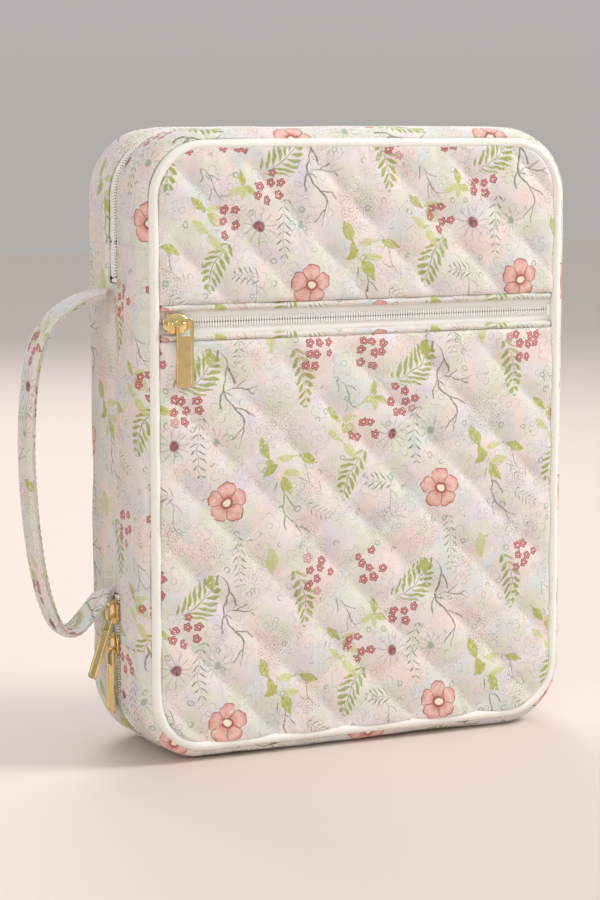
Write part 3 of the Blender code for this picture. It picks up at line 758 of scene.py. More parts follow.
wear_group, given, leave = new_group(
    "handled_metal", [("Vector", "vector", None)], [("Roughness", "float"), ("Color", "colour")]
)
smudge = noise_field(wear_group, given["Vector"], 260.0, 4.0, 0.6, flat=False)
scratch_place = wear_group.nodes.new("ShaderNodeMapping")
scratch_place.inputs["Scale"].default_value = (1.0, 1.0, 0.08)
wear_group.links.new(given["Vector"].socket, scratch_place.inputs["Vector"])
stretched = Field(wear_group, scratch_place.outputs[0])
scratches = noise_field(wear_group, stretched, 2600.0, 2.0, 0.6, flat=False)
gilt = tint(dye(244, 222, 164), (smudge - 0.35).soft(0.5), dye(228, 198, 130))
give(leave, Roughness=smudge * 0.14 + scratches * 0.08 + 0.04, Color=gilt)


# %% [markdown]
# ## Finishes
#
# Every finish is a Principled shader whose colour, roughness and normal come from the groups above.
# Numbers that are the same all over, such as the cloth's sheen, sit on the shader's own sockets,
# because only those travel with an exported model.

# %% Build the finishes
def new_finish(name, roughness, metallic=0.0, sheen=0.0):
    material = bpy.data.materials.new(name)
    material.use_nodes = True
    tree = material.node_tree
    shader = tree.nodes["Principled BSDF"]
    shader.inputs["Roughness"].default_value = roughness
    shader.inputs["Metallic"].default_value = metallic
    shader.inputs["Sheen Weight"].default_value = sheen
    if sheen:
        shader.inputs["Sheen Roughness"].default_value = 0.4
    return material, tree, shader


def coordinates(tree, kind):
    return Field(tree, tree.nodes.new("ShaderNodeTexCoord").outputs[kind])


def raise_surface(tree, shader, height, strength, distance):
    bump = tree.nodes.new("ShaderNodeBump")
    bump.inputs["Strength"].default_value = strength
    bump.inputs["Distance"].default_value = distance
    tree.links.new(height.socket, bump.inputs["Height"])
    tree.links.new(bump.outputs["Normal"], shader.inputs["Normal"])


def shaded(colour, shade):
    """A colour made a little darker where the cloth's shade is high."""
    return tint(colour, shade.math("MAXIMUM", 0.0), dye(120, 112, 106))


def cloth_finish(name, colour, thread=0.36, bump=0.8, sheen=0.15, printed=False):
    material, tree, shader = new_finish(name, 0.86, sheen=sheen)
    surface = coordinates(tree, "UV")
    weave = use_group(tree, weave_group, Vector=surface, Thread=thread, Slub=0.5)
    if printed:
        colour = use_group(tree, print_group, Vector=surface)["Color"]
    tree.links.new(shaded(colour, weave["Shade"]).socket, shader.inputs["Base Color"])
    raise_surface(tree, shader, weave["Height"], bump, 0.12 * MM)
    return material


def ribbed_finish(name, colour, pitch, lengthwise, roughness=0.7, distance=0.15 * MM):
    material, tree, shader = new_finish(name, roughness, sheen=0.1)
    surface = coordinates(tree, "UV")
    ribs = use_group(tree, rib_group, Vector=surface, Pitch=pitch, Lengthwise=lengthwise)
    tree.links.new(shaded(colour, ribs["Shade"]).socket, shader.inputs["Base Color"])
    raise_surface(tree, shader, ribs["Height"], 0.6, distance)
    return material


floral = cloth_finish("floral cotton", None, printed=True)
white_cotton = ribbed_finish("bias piping cotton", dye(247, 246, 240), 0.55, 0.0)
tape_twill = ribbed_finish("zip tape twill", dye(250, 249, 246), 0.62, 0.0, 0.75)
lining_cotton = cloth_finish("lining cotton", dye(240, 226, 222), thread=0.4)
elastic_rib = ribbed_finish("ribbed elastic", dye(240, 236, 226), 1.1, 1.0, 0.7, 0.3 * MM)
board_grey = cloth_finish("stiffener board", dye(222, 220, 214), thread=0.9)

nylon, tree, shader = new_finish("zip nylon", 0.34)
mottle = noise_field(tree, coordinates(tree, "Object"), 900.0, 2.0, flat=False)
tree.links.new(tint(dye(250, 249, 246), mottle * 0.25, dye(230, 228, 222)).socket,
               shader.inputs["Base Color"])
tree.links.new((mottle * 0.2 + 0.25).socket, shader.inputs["Roughness"])

thread_white, tree, shader = new_finish("sewing thread", 0.6, sheen=0.2)
twist = noise_field(tree, coordinates(tree, "Object"), 2400.0, 2.0, flat=False)
tree.links.new(tint(dye(246, 243, 236), twist * 0.4, dye(214, 208, 198)).socket,
               shader.inputs["Base Color"])

gold, tree, shader = new_finish("gilt metal", 0.2, metallic=1.0)
metal = use_group(tree, wear_group, Vector=coordinates(tree, "Object"))
tree.links.new(metal["Color"].socket, shader.inputs["Base Color"])
tree.links.new(metal["Roughness"].socket, shader.inputs["Roughness"])
print("finishes:", [material.name for material in bpy.data.materials])

# %% [markdown]
# ## Turning points into cloth
#
# Most pieces here start as a grid of points with a UV map in metres, so that the print and the
# weave keep their real size on every piece. `grid_object` makes such a grid into an object. A
# Solidify modifier then gives it the cloth's thickness with closed edges, and Subdivision Surface
# rounds it. The object stays at the origin, unturned and unscaled, with its place in its mesh.

# %% A grid of points becomes an object
def grid_object(name, rows, uvs, finish, keep=None, close_rows=False, close_columns=False):
    """rows is a list of equal lists of points; uvs has one more row or column where it closes."""
    high, wide = len(rows), len(rows[0])
    mesh = bpy.data.meshes.new(name)
    faces, corners = [], []
    for r in range(high if close_rows else high - 1):
        for c in range(wide if close_columns else wide - 1):
            if keep and not keep(r, c):
                continue
            after_r, after_c = (r + 1) % high, (c + 1) % wide
            faces.append(
                (r * wide + c, r * wide + after_c, after_r * wide + after_c, after_r * wide + c)
            )
            corners += [uvs[r][c], uvs[r][c + 1], uvs[r + 1][c + 1], uvs[r + 1][c]]
    mesh.from_pydata([point for row in rows for point in row], [], faces)
    layer = mesh.uv_layers.new(name="cut")
    layer.data.foreach_set("uv", np.array(corners, dtype=np.float32).ravel())
    mesh.materials.append(finish)
    mesh.shade_smooth()
    return into_scene(name, mesh)


def turned_over(rows, uvs):
    """The same cloth with its other face out."""
    return [row[::-1] for row in rows], [row[::-1] for row in uvs]


def hang(piece, body, node=None):
    """Hang a piece on its body, in place of a node where it has one."""
    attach(piece, body)
    if node:
        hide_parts(node)


def drop_loose(piece):
    """Remove the points that no face uses."""
    form = bmesh.new()
    form.from_mesh(piece.data)
    bmesh.ops.delete(form, geom=[v for v in form.verts if not v.link_faces], context="VERTS")
    form.to_mesh(piece.data)
    form.free()


def thicken(piece, thick, levels=1, offset=-1.0):
    if thick:
        solid = piece.modifiers.new("thickness", "SOLIDIFY")
        solid.thickness = thick
        solid.offset = offset
        solid.use_even_offset = False
    if levels:
        smooth = piece.modifiers.new("smooth", "SUBSURF")
        smooth.levels = smooth.render_levels = levels
    return piece


def crumple(point, size, seed):
    """A signed unevenness between -1 and 1 at a point, over lumps of a given size."""
    return noise.noise(Vector(point) / size + Vector((seed * 7.3, seed * 3.1, seed * 5.7)))


# %% [markdown]
# ## The gusset: the case's soft edge
#
# Each half has a wall of the same cotton running round its edge, from the piping to the zip. On the
# bench it is a long strip, padded and sewn flat, then eased round four corners, which is why it
# puffs at the piping and creases slightly along its length. It is made as one sheet swept along the
# outline. The stretch from the spine to the end of each corner is a separate sheet, because that
# is the cloth that bends when the case opens like a book.

# %% The wall's section and its sweep
WALL_THICK = 2.3 * MM
SHOULDER_DEPTH = 10.5 * MM
SHOULDER_START = 2.3 * MM
SHOULDER_INSET = PIPING_INSET - 1.7 * MM
SECTION_STEPS = 9
OVERLAP = 8 * MM  # how far the bending cloth starts along the spine
SEAM, TUCK = 1.6 * MM, 0.6 * MM  # how far, and how deep, its ends go under their neighbours
LONG_CREASE, LONG_CREASE_HEIGHT = 13 * MM, 0.95 * MM
SMALL_CREASE, SMALL_CREASE_HEIGHT = 11 * MM, 0.35 * MM
SPINE_FOOT_END = spine_low[2] + OVERLAP
SPINE_TOP_END = spine_high[2] - OVERLAP


def wall_profile(side):
    """(inset, y) points of a wall's outer face, from the piping to its folded zip edge."""
    face = MIDDLE_Y + side * HALF_DEPTH
    edge = ZIP_SLOT / 2
    points = []
    for step in range(SECTION_STEPS):
        turn = math.pi / 2 * step / (SECTION_STEPS - 1)
        depth = SHOULDER_START + (SHOULDER_DEPTH - SHOULDER_START) * (1 - math.cos(turn))
        points.append((SHOULDER_INSET * (1 - math.sin(turn)), face - side * depth))
    far = HALF_DEPTH - SHOULDER_DEPTH
    for step in range(1, SECTION_STEPS):
        share = step / (SECTION_STEPS - 1)
        swell = -0.5 * MM * math.sin(math.pi * share)
        points.append((swell, MIDDLE_Y + side * (far + (edge - far) * share)))
    last = points.pop()
    return [*points, (0.4 * MM, last[1] + side * 0.6 * MM), (1.3 * MM, last[1])]


def wall_point(walked, inset, y, seed):
    """A point of a wall with the cloth's small creases, which run along the edge."""
    x, z = edge_point(walked, inset)
    lumps = crumple((x * 0.30, y * 2.4, z * 0.30), LONG_CREASE, seed) * LONG_CREASE_HEIGHT
    lumps += crumple((x, y, z), SMALL_CREASE, seed + 1) * SMALL_CREASE_HEIGHT
    return edge_place(walked, inset - lumps, y)


def lengths_along(profile):
    """How far along a section each of its points is."""
    far = [0.0]
    for here, after in zip(profile, profile[1:]):
        far.append(far[-1] + math.dist(here, after))
    return far


def wall_sheet(name, side, start, end, seed):
    profile = wall_profile(side)
    far = lengths_along(profile)
    stations = [(s, 0.0) for s in walk(start, end, 4.5 * MM)]
    if "turn" in name:  # its ends are tucked under the neighbouring cloth, as a seam would be
        stations = [(start - SEAM, TUCK), *stations, (end + SEAM, TUCK)]
    rows = [
        [wall_point(s, inset + tuck, y, seed) for inset, y in profile] for s, tuck in stations
    ]
    uvs = [[(side * v, s) for v in far] for s, _ in stations]
    if side < 0:
        rows, uvs = turned_over(rows, uvs)
    return thicken(grid_object(name, rows, uvs, floral), WALL_THICK)


def bend_at_corner(piece, high):
    """Cloth from the spine to a corner's far end, with its place baked into its mesh."""
    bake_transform(piece)


HALVES = (("front", -1, "front_half"), ("back", 1, "back_half"))
STRETCHES = (
    ("top_turn", walk_to_height(SPINE_TOP_END, True), TOP_SIDE),
    ("round", TOP_SIDE, FOOT_CORNER),
    ("foot_turn", FOOT_CORNER, walk_to_height(SPINE_FOOT_END, False)),
)


def along_the_edge(kind, maker):
    """Make a piece on both halves in three stretches, and hang the round one on its half's body."""
    made = []
    for half, side, body in HALVES:
        for stretch, start, end in STRETCHES:
            piece = maker(f"{half}_{kind}_{stretch}", side, start, end)
            if stretch == "round":
                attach(piece, body)
            else:
                bend_at_corner(piece, stretch == "top_turn")
            made.append((half, stretch, piece))
    return made


for half, stretch, piece in along_the_edge(
    "wall", lambda name, side, start, end: wall_sheet(name, side, start, end, 3 + side),
):
    if stretch == "round":
        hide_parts(f"{half}_gusset")
    print(piece.name, len(piece.data.polygons), "faces")

# %% [markdown]
# ## The spine
#
# The spine is the strip that stays with the strap when the case opens. It forks round the zip at
# both ends, and a seam runs down its middle between the two forks, where the strap's ends are sewn
# in. It is one sheet with the forks left out of the grid, so its cloth and print run on unbroken.

# %% The spine's cloth
strap_low, strap_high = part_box("strap_handle")
stop_low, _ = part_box("zip_stop_lower")
_, stop_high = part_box("zip_stop_upper")
SLOT_LOW = stop_low[2] + 1.9 * MM
SLOT_HIGH = stop_high[2] - 1.9 * MM

profile = wall_profile(-1)[:-2]
across_spine = [*profile, *[(inset, 2 * MIDDLE_Y - y) for inset, y in reversed(profile)]]
edge = ZIP_SLOT / 2
fork_edges = [MIDDLE_Y - edge, MIDDLE_Y - 1.5 * MM, MIDDLE_Y, MIDDLE_Y + 1.5 * MM, MIDDLE_Y + edge]
half_way = len(profile)
across_spine[half_way:half_way] = [(0.0, y) for y in fork_edges]
heights = [
    *walk(SPINE_FOOT_END, SLOT_LOW, 4 * MM)[:-1],
    *walk(SLOT_LOW, SLOT_HIGH, 4 * MM),
    *walk(SLOT_HIGH, SPINE_TOP_END, 4 * MM)[1:],
]


def spine_point(inset, y, z):
    seam = 0.9 * MM * math.exp(-(((y - MIDDLE_Y) / (1.6 * MM)) ** 2))
    if not SLOT_LOW - MM < z < SLOT_HIGH + MM:
        seam = 0.0
    return wall_point(z - MIDDLE_Z, inset + seam, y, 2)


far = lengths_along(across_spine)
rows = [[spine_point(inset, y, z) for inset, y in across_spine] for z in heights]
uvs = [[(far[-1] / 2 - v + 0.031, z - MIDDLE_Z) for v in far] for z in heights]


def outside_forks(row, column):
    in_slot = half_way <= column < half_way + len(fork_edges) - 1
    beyond = heights[row] < SLOT_LOW - MM or heights[row + 1] > SLOT_HIGH + MM
    return not (in_slot and beyond)


spine_cloth = grid_object(
    "spine_cloth", *turned_over(rows, uvs), floral,
    keep=lambda r, c: outside_forks(r, len(across_spine) - 2 - c),
)
drop_loose(spine_cloth)
thicken(spine_cloth, WALL_THICK)
hang(spine_cloth, "spine", "spine_panel")
print("spine:", len(spine_cloth.data.polygons), "faces")

# %% [markdown]
# ## The piping
#
# Piping is a cord wrapped in a bias strip and caught in the seam, so it reads as a smooth round
# rope with a flat seam allowance behind it. A tube swept once round each face shows it best. It is
# slightly uneven, because a wrapped cord never lies dead straight.

# %% Two rings of piping
PIPING_SIDES = 14


def piping_ring(name, side):
    cord_y = MIDDLE_Y + side * (HALF_DEPTH - PIPING_DEPTH)
    stations = walk(0, AROUND, 4 * MM)[:-1]
    rows = []
    for s in stations:
        ring = []
        x, z = edge_point(s, PIPING_INSET)
        plump = PIPING_RADIUS * (1 + 0.03 * crumple((x, cord_y, z), 0.012, 5))
        shift = 0.25 * MM * crumple((x, cord_y, z), 0.03, 6)
        for k in range(PIPING_SIDES):
            angle = 2 * math.pi * k / PIPING_SIDES
            inset = PIPING_INSET + shift + plump * math.cos(angle)
            ring.append(edge_place(s, inset, cord_y + side * plump * math.sin(angle)))
        rows.append(ring if side > 0 else ring[::-1])
    girth = 2 * math.pi * PIPING_RADIUS
    uvs = [
        [(s, girth * k / PIPING_SIDES) for k in range(PIPING_SIDES + 1)]
        for s in [*stations, AROUND]
    ]
    return grid_object(name, rows, uvs, white_cotton, close_rows=True, close_columns=True)


for half, side, body in HALVES:
    ring = thicken(piping_ring(f"{half}_piping_cord", side), None)
    hang(ring, body, f"{half}_piping")
    print(ring.name, len(ring.data.polygons), "faces")

# %% [markdown]
# ## The main zip
#
# A coil zip is two woven tapes with a nylon coil sewn along each meeting edge. The tape is another
# swept sheet. The coil's turns repeat by the thousand, so Geometry Nodes place them: a curve is
# resampled at the coil's pitch, and one small tooth is set on every point, facing across the tape.

# %% Tape sheets
TAPE_INSET = 2.0 * MM
TAPE_THICK = 0.7 * MM
TAPE_EDGE = 0.15 * MM
TAPE_WIDTH = 12 * MM
TAPE_ACROSS = (0.0, 0.1, 0.25, 0.42, 0.6, 0.8, 1.0)


def tape_profile(side):
    """A tape's section: flat, with a ridge where the coil is sewn on."""
    points = []
    for share in TAPE_ACROSS:
        out = TAPE_EDGE + share * TAPE_WIDTH
        lift = 0.35 * MM * math.exp(-(((out - 4.6 * MM) / (0.8 * MM)) ** 2))
        points.append((TAPE_INSET - lift, MIDDLE_Y + side * out))
    return points


def tape_sheet(name, side, start, end):
    profile = tape_profile(side)
    far = lengths_along(profile)
    stations = walk(start, end, 5 * MM)
    rows = [[edge_place(s, inset, y) for inset, y in profile] for s in stations]
    uvs = [[(s, v) for v in far] for s in stations]
    if side > 0:
        rows, uvs = turned_over(rows, uvs)
    return thicken(grid_object(name, rows, uvs, tape_twill), TAPE_THICK)


for half, stretch, piece in along_the_edge("tape", tape_sheet):
    if stretch == "round":
        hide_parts(f"{half}_zip_tape")
ZIP_FOOT, ZIP_TOP = stop_low[2] - 0.3 * MM, stop_high[2] + 0.3 * MM


def tails(kind, maker):
    """The zip's last stretches, from each fork of the spine to its stop."""
    for half, side, _ in HALVES:
        for end_name, start, end in (
            ("top", walk_to_height(ZIP_TOP, True), walk_to_height(SPINE_TOP_END, True)),
            ("foot", walk_to_height(SPINE_FOOT_END, False), walk_to_height(ZIP_FOOT, False)),
        ):
            hang(maker(f"{half}_{kind}_{end_name}_tail", side, start, end), "spine")


tails("tape", tape_sheet)


# %% Geometry Nodes that lay a small shape along a curve
def row_tree(name):
    """A tree with inputs for pitch, size, facing, jitter and finish that repeats a bead on curves."""
    tree = bpy.data.node_groups.new(name, "GeometryNodeTree")
    face = tree.interface
    face.new_socket("Geometry", in_out="INPUT", socket_type="NodeSocketGeometry")
    for label, kind in (
        ("Pitch", "NodeSocketFloat"),
        ("Size", "NodeSocketVector"),
        ("Across", "NodeSocketVector"),
        ("Jitter", "NodeSocketFloat"),
        ("Finish", "NodeSocketMaterial"),
    ):
        face.new_socket(label, in_out="INPUT", socket_type=kind)
    face.new_socket("Geometry", in_out="OUTPUT", socket_type="NodeSocketGeometry")
    nodes, links = tree.nodes, tree.links
    entry, leave = nodes.new("NodeGroupInput"), nodes.new("NodeGroupOutput")

    points = nodes.new("GeometryNodeCurveToPoints")
    points.mode = "LENGTH"
    links.new(entry.outputs["Geometry"], points.inputs["Curve"])
    links.new(entry.outputs["Pitch"], points.inputs["Length"])

    along = nodes.new("FunctionNodeAlignRotationToVector")
    along.axis = "X"
    links.new(points.outputs["Tangent"], along.inputs["Vector"])
    facing = nodes.new("FunctionNodeAlignRotationToVector")
    facing.axis, facing.pivot_axis = "Y", "X"
    links.new(along.outputs["Rotation"], facing.inputs["Rotation"])
    links.new(entry.outputs["Across"], facing.inputs["Vector"])

    bead = nodes.new("GeometryNodeMeshIcoSphere")
    bead.inputs["Radius"].default_value = 0.5
    bead.inputs["Subdivisions"].default_value = 2

    uneven = nodes.new("FunctionNodeRandomValue")
    uneven.data_type = "FLOAT"
    uneven.inputs["Seed"].default_value = 11
    low, high = [s for s in uneven.inputs if s.type == "VALUE"][:2]
    shrink = nodes.new("ShaderNodeMath")
    shrink.operation = "SUBTRACT"
    shrink.inputs[0].default_value = 1.0
    links.new(entry.outputs["Jitter"], shrink.inputs[1])
    links.new(shrink.outputs[0], low)
    high.default_value = 1.0
    size = nodes.new("ShaderNodeVectorMath")
    size.operation = "SCALE"
    links.new(entry.outputs["Size"], size.inputs[0])
    links.new([s for s in uneven.outputs if s.type == "VALUE"][0], size.inputs["Scale"])

    place = nodes.new("GeometryNodeInstanceOnPoints")
    links.new(points.outputs["Points"], place.inputs["Points"])
    links.new(bead.outputs["Mesh"], place.inputs["Instance"])
    links.new(facing.outputs["Rotation"], place.inputs["Rotation"])
    links.new(size.outputs[0], place.inputs["Scale"])

    real = nodes.new("GeometryNodeRealizeInstances")
    finish = nodes.new("GeometryNodeSetMaterial")
    links.new(place.outputs["Instances"], real.inputs["Geometry"])
    links.new(real.outputs["Geometry"], finish.inputs["Geometry"])
    links.new(entry.outputs["Finish"], finish.inputs["Material"])
    links.new(finish.outputs["Geometry"], leave.inputs["Geometry"])
    return tree


bead_row = row_tree("bead_row")


def curve_of(name, runs):
    """A curve object of straight-pieced splines, one for each run of points."""
    data = bpy.data.curves.new(name, "CURVE")
    data.dimensions = "3D"
    for run in runs:
        spline = data.splines.new("POLY")
        spline.points.add(len(run) - 1)
        for point, place in zip(spline.points, run):
            point.co = (*place, 1.0)
    return into_scene(name, data)


def beads_along(name, runs, pitch, size, across, jitter, finish):
    """Run the bead tree on curves, and keep the result as one plain mesh object."""
    guide = curve_of(f"{name}_guide", runs)
    step = guide.modifiers.new("beads", "NODES")
    step.node_group = bead_row
    named = {
        item.name: item.identifier
        for item in bead_row.interface.items_tree
        if item.in_out == "INPUT"
    }
    for label, value in (
        ("Pitch", pitch), ("Size", size), ("Across", across), ("Jitter", jitter), ("Finish", finish)
    ):
        step[named[label]] = value
    depsgraph = bpy.context.evaluated_depsgraph_get()
    mesh = bpy.data.meshes.new_from_object(guide.evaluated_get(depsgraph), depsgraph=depsgraph)
    guide.modifiers.clear()
    bpy.data.objects.remove(guide, do_unlink=True)
    mesh.name = name
    mesh.shade_smooth()
    return into_scene(name, mesh)


# %% The main zip's teeth
TOOTH_PITCH = 1.25 * MM
TOOTH = (0.85 * MM, 2.5 * MM, 1.25 * MM)
TOOTH_INSET = 1.2 * MM
TOOTH_OUT = 1.05 * MM


def edge_run(start, end, inset, y):
    return [edge_place(s, inset, y) for s in walk(start, end, 3 * MM)]


def teeth(name, side, start, end):
    y = MIDDLE_Y + side * TOOTH_OUT
    shift = TOOTH_PITCH / 2 if side > 0 else 0.0
    run = edge_run(start + shift, end, TOOTH_INSET, y)
    return beads_along(name, [run], TOOTH_PITCH, TOOTH, (0.0, 1.0, 0.0), 0.0, nylon)


for half, stretch, piece in along_the_edge("teeth", teeth):
    if stretch == "round":
        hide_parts(f"{half}_zip_coil")
tails("teeth", teeth)
print("main zip laid, tooth pitch", TOOTH_PITCH)

# %% [markdown]
# ## The quilted faces
#
# Each face is printed cotton over wadding, sewn through in diamonds before it is cut out. Between
# two lines of stitches the wadding pushes the cloth up, and the thread holds it down, so each
# diamond is a small pillow with a soft crease round it. That is a job for the cloth simulation: a
# flat grid is pinned along the stitches and the cut edge, and pressure from behind puffs the rest.
# The grid's points nearest to a line of stitches are first moved onto it, so the creases run clean.

# %% The panel's grid and its stitch lines
QUILT = 34.5 * MM  # between stitch lines, measured straight across
FALLING_FROM = MM  # where the two families of lines start, from the foot's middle
RISING_FROM = 18 * MM
GRID = 2.1 * MM
SEWN_DEPTH = 1.0 * MM  # how far the stitches and the cut edge lie behind the panel's face
PUFF = 3.1 * MM  # how far a pillow stands over the stitches
PANEL_TUCK = 1.1 * MM  # how far a panel's cut edge goes under the piping and the welts
PANEL_CORNER = CORNER - PANEL_INSET + PANEL_TUCK
PANEL_SOLID = 2.4 * MM
SIM_FRAMES = 14
PRESSURE = 30
GROWTH = -0.012
WADDING = 0.5  # how far the wadding's own crown evens the cloth's folds out
CREASE = 0.62  # below 1 the pillows rise more steeply from their stitches
MOST_SHIFT = 0.5 * MM  # how far a pillow's point may slide along the panel
FOLD, FOLD_HEIGHT = 16 * MM, 0.5 * MM


def signed_gap(value, start):
    """Signed distance to the nearest of a family of evenly spaced lines."""
    return (value - start + QUILT / 2) % QUILT - QUILT / 2


def panel_rows(low, high, round_low, round_high):
    """Heights of a panel's rows, closer together where its corners are round."""
    start, end = low, high
    rows = []
    turns = [math.pi / 2 * k / 16 for k in range(17)]
    if round_low:
        start = low + PANEL_CORNER
        rows += [start - PANEL_CORNER * math.cos(turn) for turn in turns[:-1]]
    if round_high:
        end = high - PANEL_CORNER
    rows += walk(start, end, GRID)
    if round_high:
        rows += [end + PANEL_CORNER * math.sin(turn) for turn in turns[1:]]
    return rows


def panel_half_width(z, low, high, round_low, round_high):
    half = WIDTH / 2 - PANEL_INSET + PANEL_TUCK
    short = 0.0
    if round_low and z < low + PANEL_CORNER:
        short = (low + PANEL_CORNER - z) / PANEL_CORNER
    if round_high and z > high - PANEL_CORNER:
        short = (z - high + PANEL_CORNER) / PANEL_CORNER
    short = min(short, 1.0)
    return half - PANEL_CORNER * (1 - math.sqrt(1 - short * short))


def puff_with_cloth(piece, pinned):
    """Blow a pinned sheet up from behind; returns how far each point moved."""
    rest = np.array([v.co[:] for v in piece.data.vertices])
    group = piece.vertex_groups.new(name="sewn")
    group.add([int(k) for k in np.flatnonzero(pinned)], 1.0, "REPLACE")
    cloth = piece.modifiers.new("cloth", "CLOTH")
    settings = cloth.settings
    settings.quality = 4
    settings.mass = 0.1
    settings.tension_stiffness = settings.compression_stiffness = 10
    settings.shear_stiffness = 4
    settings.bending_stiffness = 0.1
    settings.vertex_group_mass = "sewn"
    settings.use_pressure = True
    settings.uniform_pressure_force = PRESSURE
    settings.effector_weights.gravity = 0
    settings.shrink_min = GROWTH
    cloth.point_cache.frame_start, cloth.point_cache.frame_end = 1, SIM_FRAMES
    for step in range(1, SIM_FRAMES + 1):
        bpy.context.scene.frame_set(step)
    depsgraph = bpy.context.evaluated_depsgraph_get()
    moved = np.array([v.co[:] for v in piece.evaluated_get(depsgraph).data.vertices])
    piece.modifiers.remove(cloth)
    piece.vertex_groups.remove(group)
    bpy.context.scene.frame_set(1)
    return moved - rest


def quilted_panel(name, low, high, side, cut, seed):
    """A panel between two heights; cut is where the print's flower falls on it, (x, z)."""
    low, high = low - PANEL_TUCK, high + PANEL_TUCK
    round_low, round_high = low < FOOT + CORNER, high > TOP - CORNER
    heights = panel_rows(low, high, round_low, round_high)
    columns = round((WIDTH - 2 * PANEL_INSET) / GRID)
    base_y = MIDDLE_Y + side * (HALF_DEPTH - SEWN_DEPTH)
    points = np.zeros((len(heights), columns + 1, 3))
    for r, z in enumerate(heights):
        half = panel_half_width(z, low, high, round_low, round_high)
        points[r, :, 0] = np.linspace(MIDDLE_X - half, MIDDLE_X + half, columns + 1)
        points[r, :, 1] = base_y
        points[r, :, 2] = z
    x, z = points[..., 0] - MIDDLE_X, points[..., 2] - FOOT
    pinned = np.zeros(x.shape, bool)
    inner = np.zeros(x.shape, bool)
    inner[1:-1, 1:-1] = True
    reach = GRID * 0.36
    for gap, along_x in ((signed_gap(x + z, FALLING_FROM), 1), (signed_gap(z - x, RISING_FROM), -1)):
        near = inner & (np.abs(gap) < reach * math.sqrt(2)) & ~pinned
        points[..., 0][near] -= along_x * gap[near] / 2
        points[..., 2][near] -= gap[near] / 2
        pinned |= near
    pinned |= ~inner
    uvs = [
        [(side * -1 * (px - MIDDLE_X) - cut[0], pz - FOOT - cut[1]) for px, _, pz in row]
        for row in points
    ]
    rows = [[tuple(p) for p in row] for row in points]
    if side > 0:
        rows, uvs = turned_over(rows, uvs)
    piece = grid_object(name, rows, uvs, floral)
    held = (pinned if side < 0 else pinned[:, ::-1]).ravel()
    flat = np.array([v.co[:] for v in piece.data.vertices])
    x, z = flat[:, 0] - MIDDLE_X, flat[:, 2] - FOOT
    crown = np.abs(np.sin(np.pi * (x + z - FALLING_FROM) / QUILT))
    crown = np.sqrt(crown * np.abs(np.sin(np.pi * (z - x - RISING_FROM) / QUILT)))
    crown[held] = 0
    lift = puff_with_cloth(piece, held)
    tall = np.percentile(np.abs(lift[:, 1]), 97)
    print(name, "rose", round(tall * 1000, 2), "mm in the simulation,", len(flat), "points")
    risen = np.clip(lift[:, 1] * side / tall, 0.0, 1.2) ** CREASE
    risen += (crown - risen) * WADDING
    lift[:, 1] = risen * PUFF * side
    lift[:, (0, 2)] = np.clip(lift[:, (0, 2)], -MOST_SHIFT, MOST_SHIFT)
    shape = flat + lift
    for k, vertex in enumerate(piece.data.vertices):
        vertex.co = shape[k]
        if not held[k]:
            fold = crumple((shape[k][0], 0, shape[k][2] * 0.8), FOLD, seed) * FOLD_HEIGHT
            vertex.co.y += side * fold
    thicken(piece, PANEL_SOLID)
    return piece


# %% Sew the three panels
LOWER_FLOWER = (-68 * MM, 16 * MM)  # where a coral flower's middle falls, from the foot's middle
UPPER_FLOWER = (-27 * MM, 211 * MM)
BACK_FLOWER = (-20 * MM, 60 * MM)
panels = {}
for name, node, low, high, side, flower, body in (
    ("front_quilt_lower", "front_panel_lower", panel_low[2], panel_high[2], -1, LOWER_FLOWER, "front_half"),
    ("front_quilt_upper", "front_panel_upper", upper_low[2], upper_high[2], -1, UPPER_FLOWER, "front_half"),
    ("back_quilt", "back_panel", back_low[2], back_high[2], 1, BACK_FLOWER, "back_half"),
):
    panels[name] = quilted_panel(name, low, high, side, flower, 20 + len(panels))
    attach(panels[name], body)
    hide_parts(node)

# %% [markdown]
# ## The pocket's welts and zip
#
# The front pocket opens between two narrow welts: strips of the print folded over and stitched
# down, as round as a bootlace. The zip lies in the slot between them. The welts are tubes with an
# uneven plumpness; the zip uses the same tape and the same beads as the main one.

# %% Round strips along x
def cap_ends(piece):
    """Close a tube's two open ends."""
    form = bmesh.new()
    form.from_mesh(piece.data)
    bmesh.ops.holes_fill(form, edges=[e for e in form.edges if e.is_boundary])
    bmesh.ops.recalc_face_normals(form, faces=form.faces[:])
    form.to_mesh(piece.data)
    form.free()
    return piece


def round_strip(name, node, finish, seed, sides=12, sag=0.35 * MM):
    low, high = (Vector(corner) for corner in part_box(node))
    middle_y, middle_z = (low.y + high.y) / 2, (low.z + high.z) / 2
    deep, tall = (high.y - low.y) / 2, (high.z - low.z) / 2
    stations = walk(low.x, high.x, 3.5 * MM)
    rows = []
    for x in stations:
        lump = 1 + 0.09 * crumple((x, 0, middle_z), 0.011, seed)
        rise = sag * crumple((x, 0, middle_z), 0.03, seed + 2)
        rows.append([
            (
                x,
                middle_y + deep * lump * math.sin(2 * math.pi * k / sides),
                middle_z + rise + tall * lump * math.cos(2 * math.pi * k / sides),
            )
            for k in range(sides)
        ])
    girth = math.pi * (deep + tall)
    uvs = [[(x - low.x, girth * k / sides) for k in range(sides + 1)] for x in stations]
    return thicken(cap_ends(grid_object(name, rows, uvs, finish, close_columns=True)), None)


for place in ("upper", "lower"):
    welt = round_strip(f"pocket_welt_cord_{place}", f"pocket_welt_{place}", floral, seed=len(place))
    hang(welt, "front_half", f"pocket_welt_{place}")

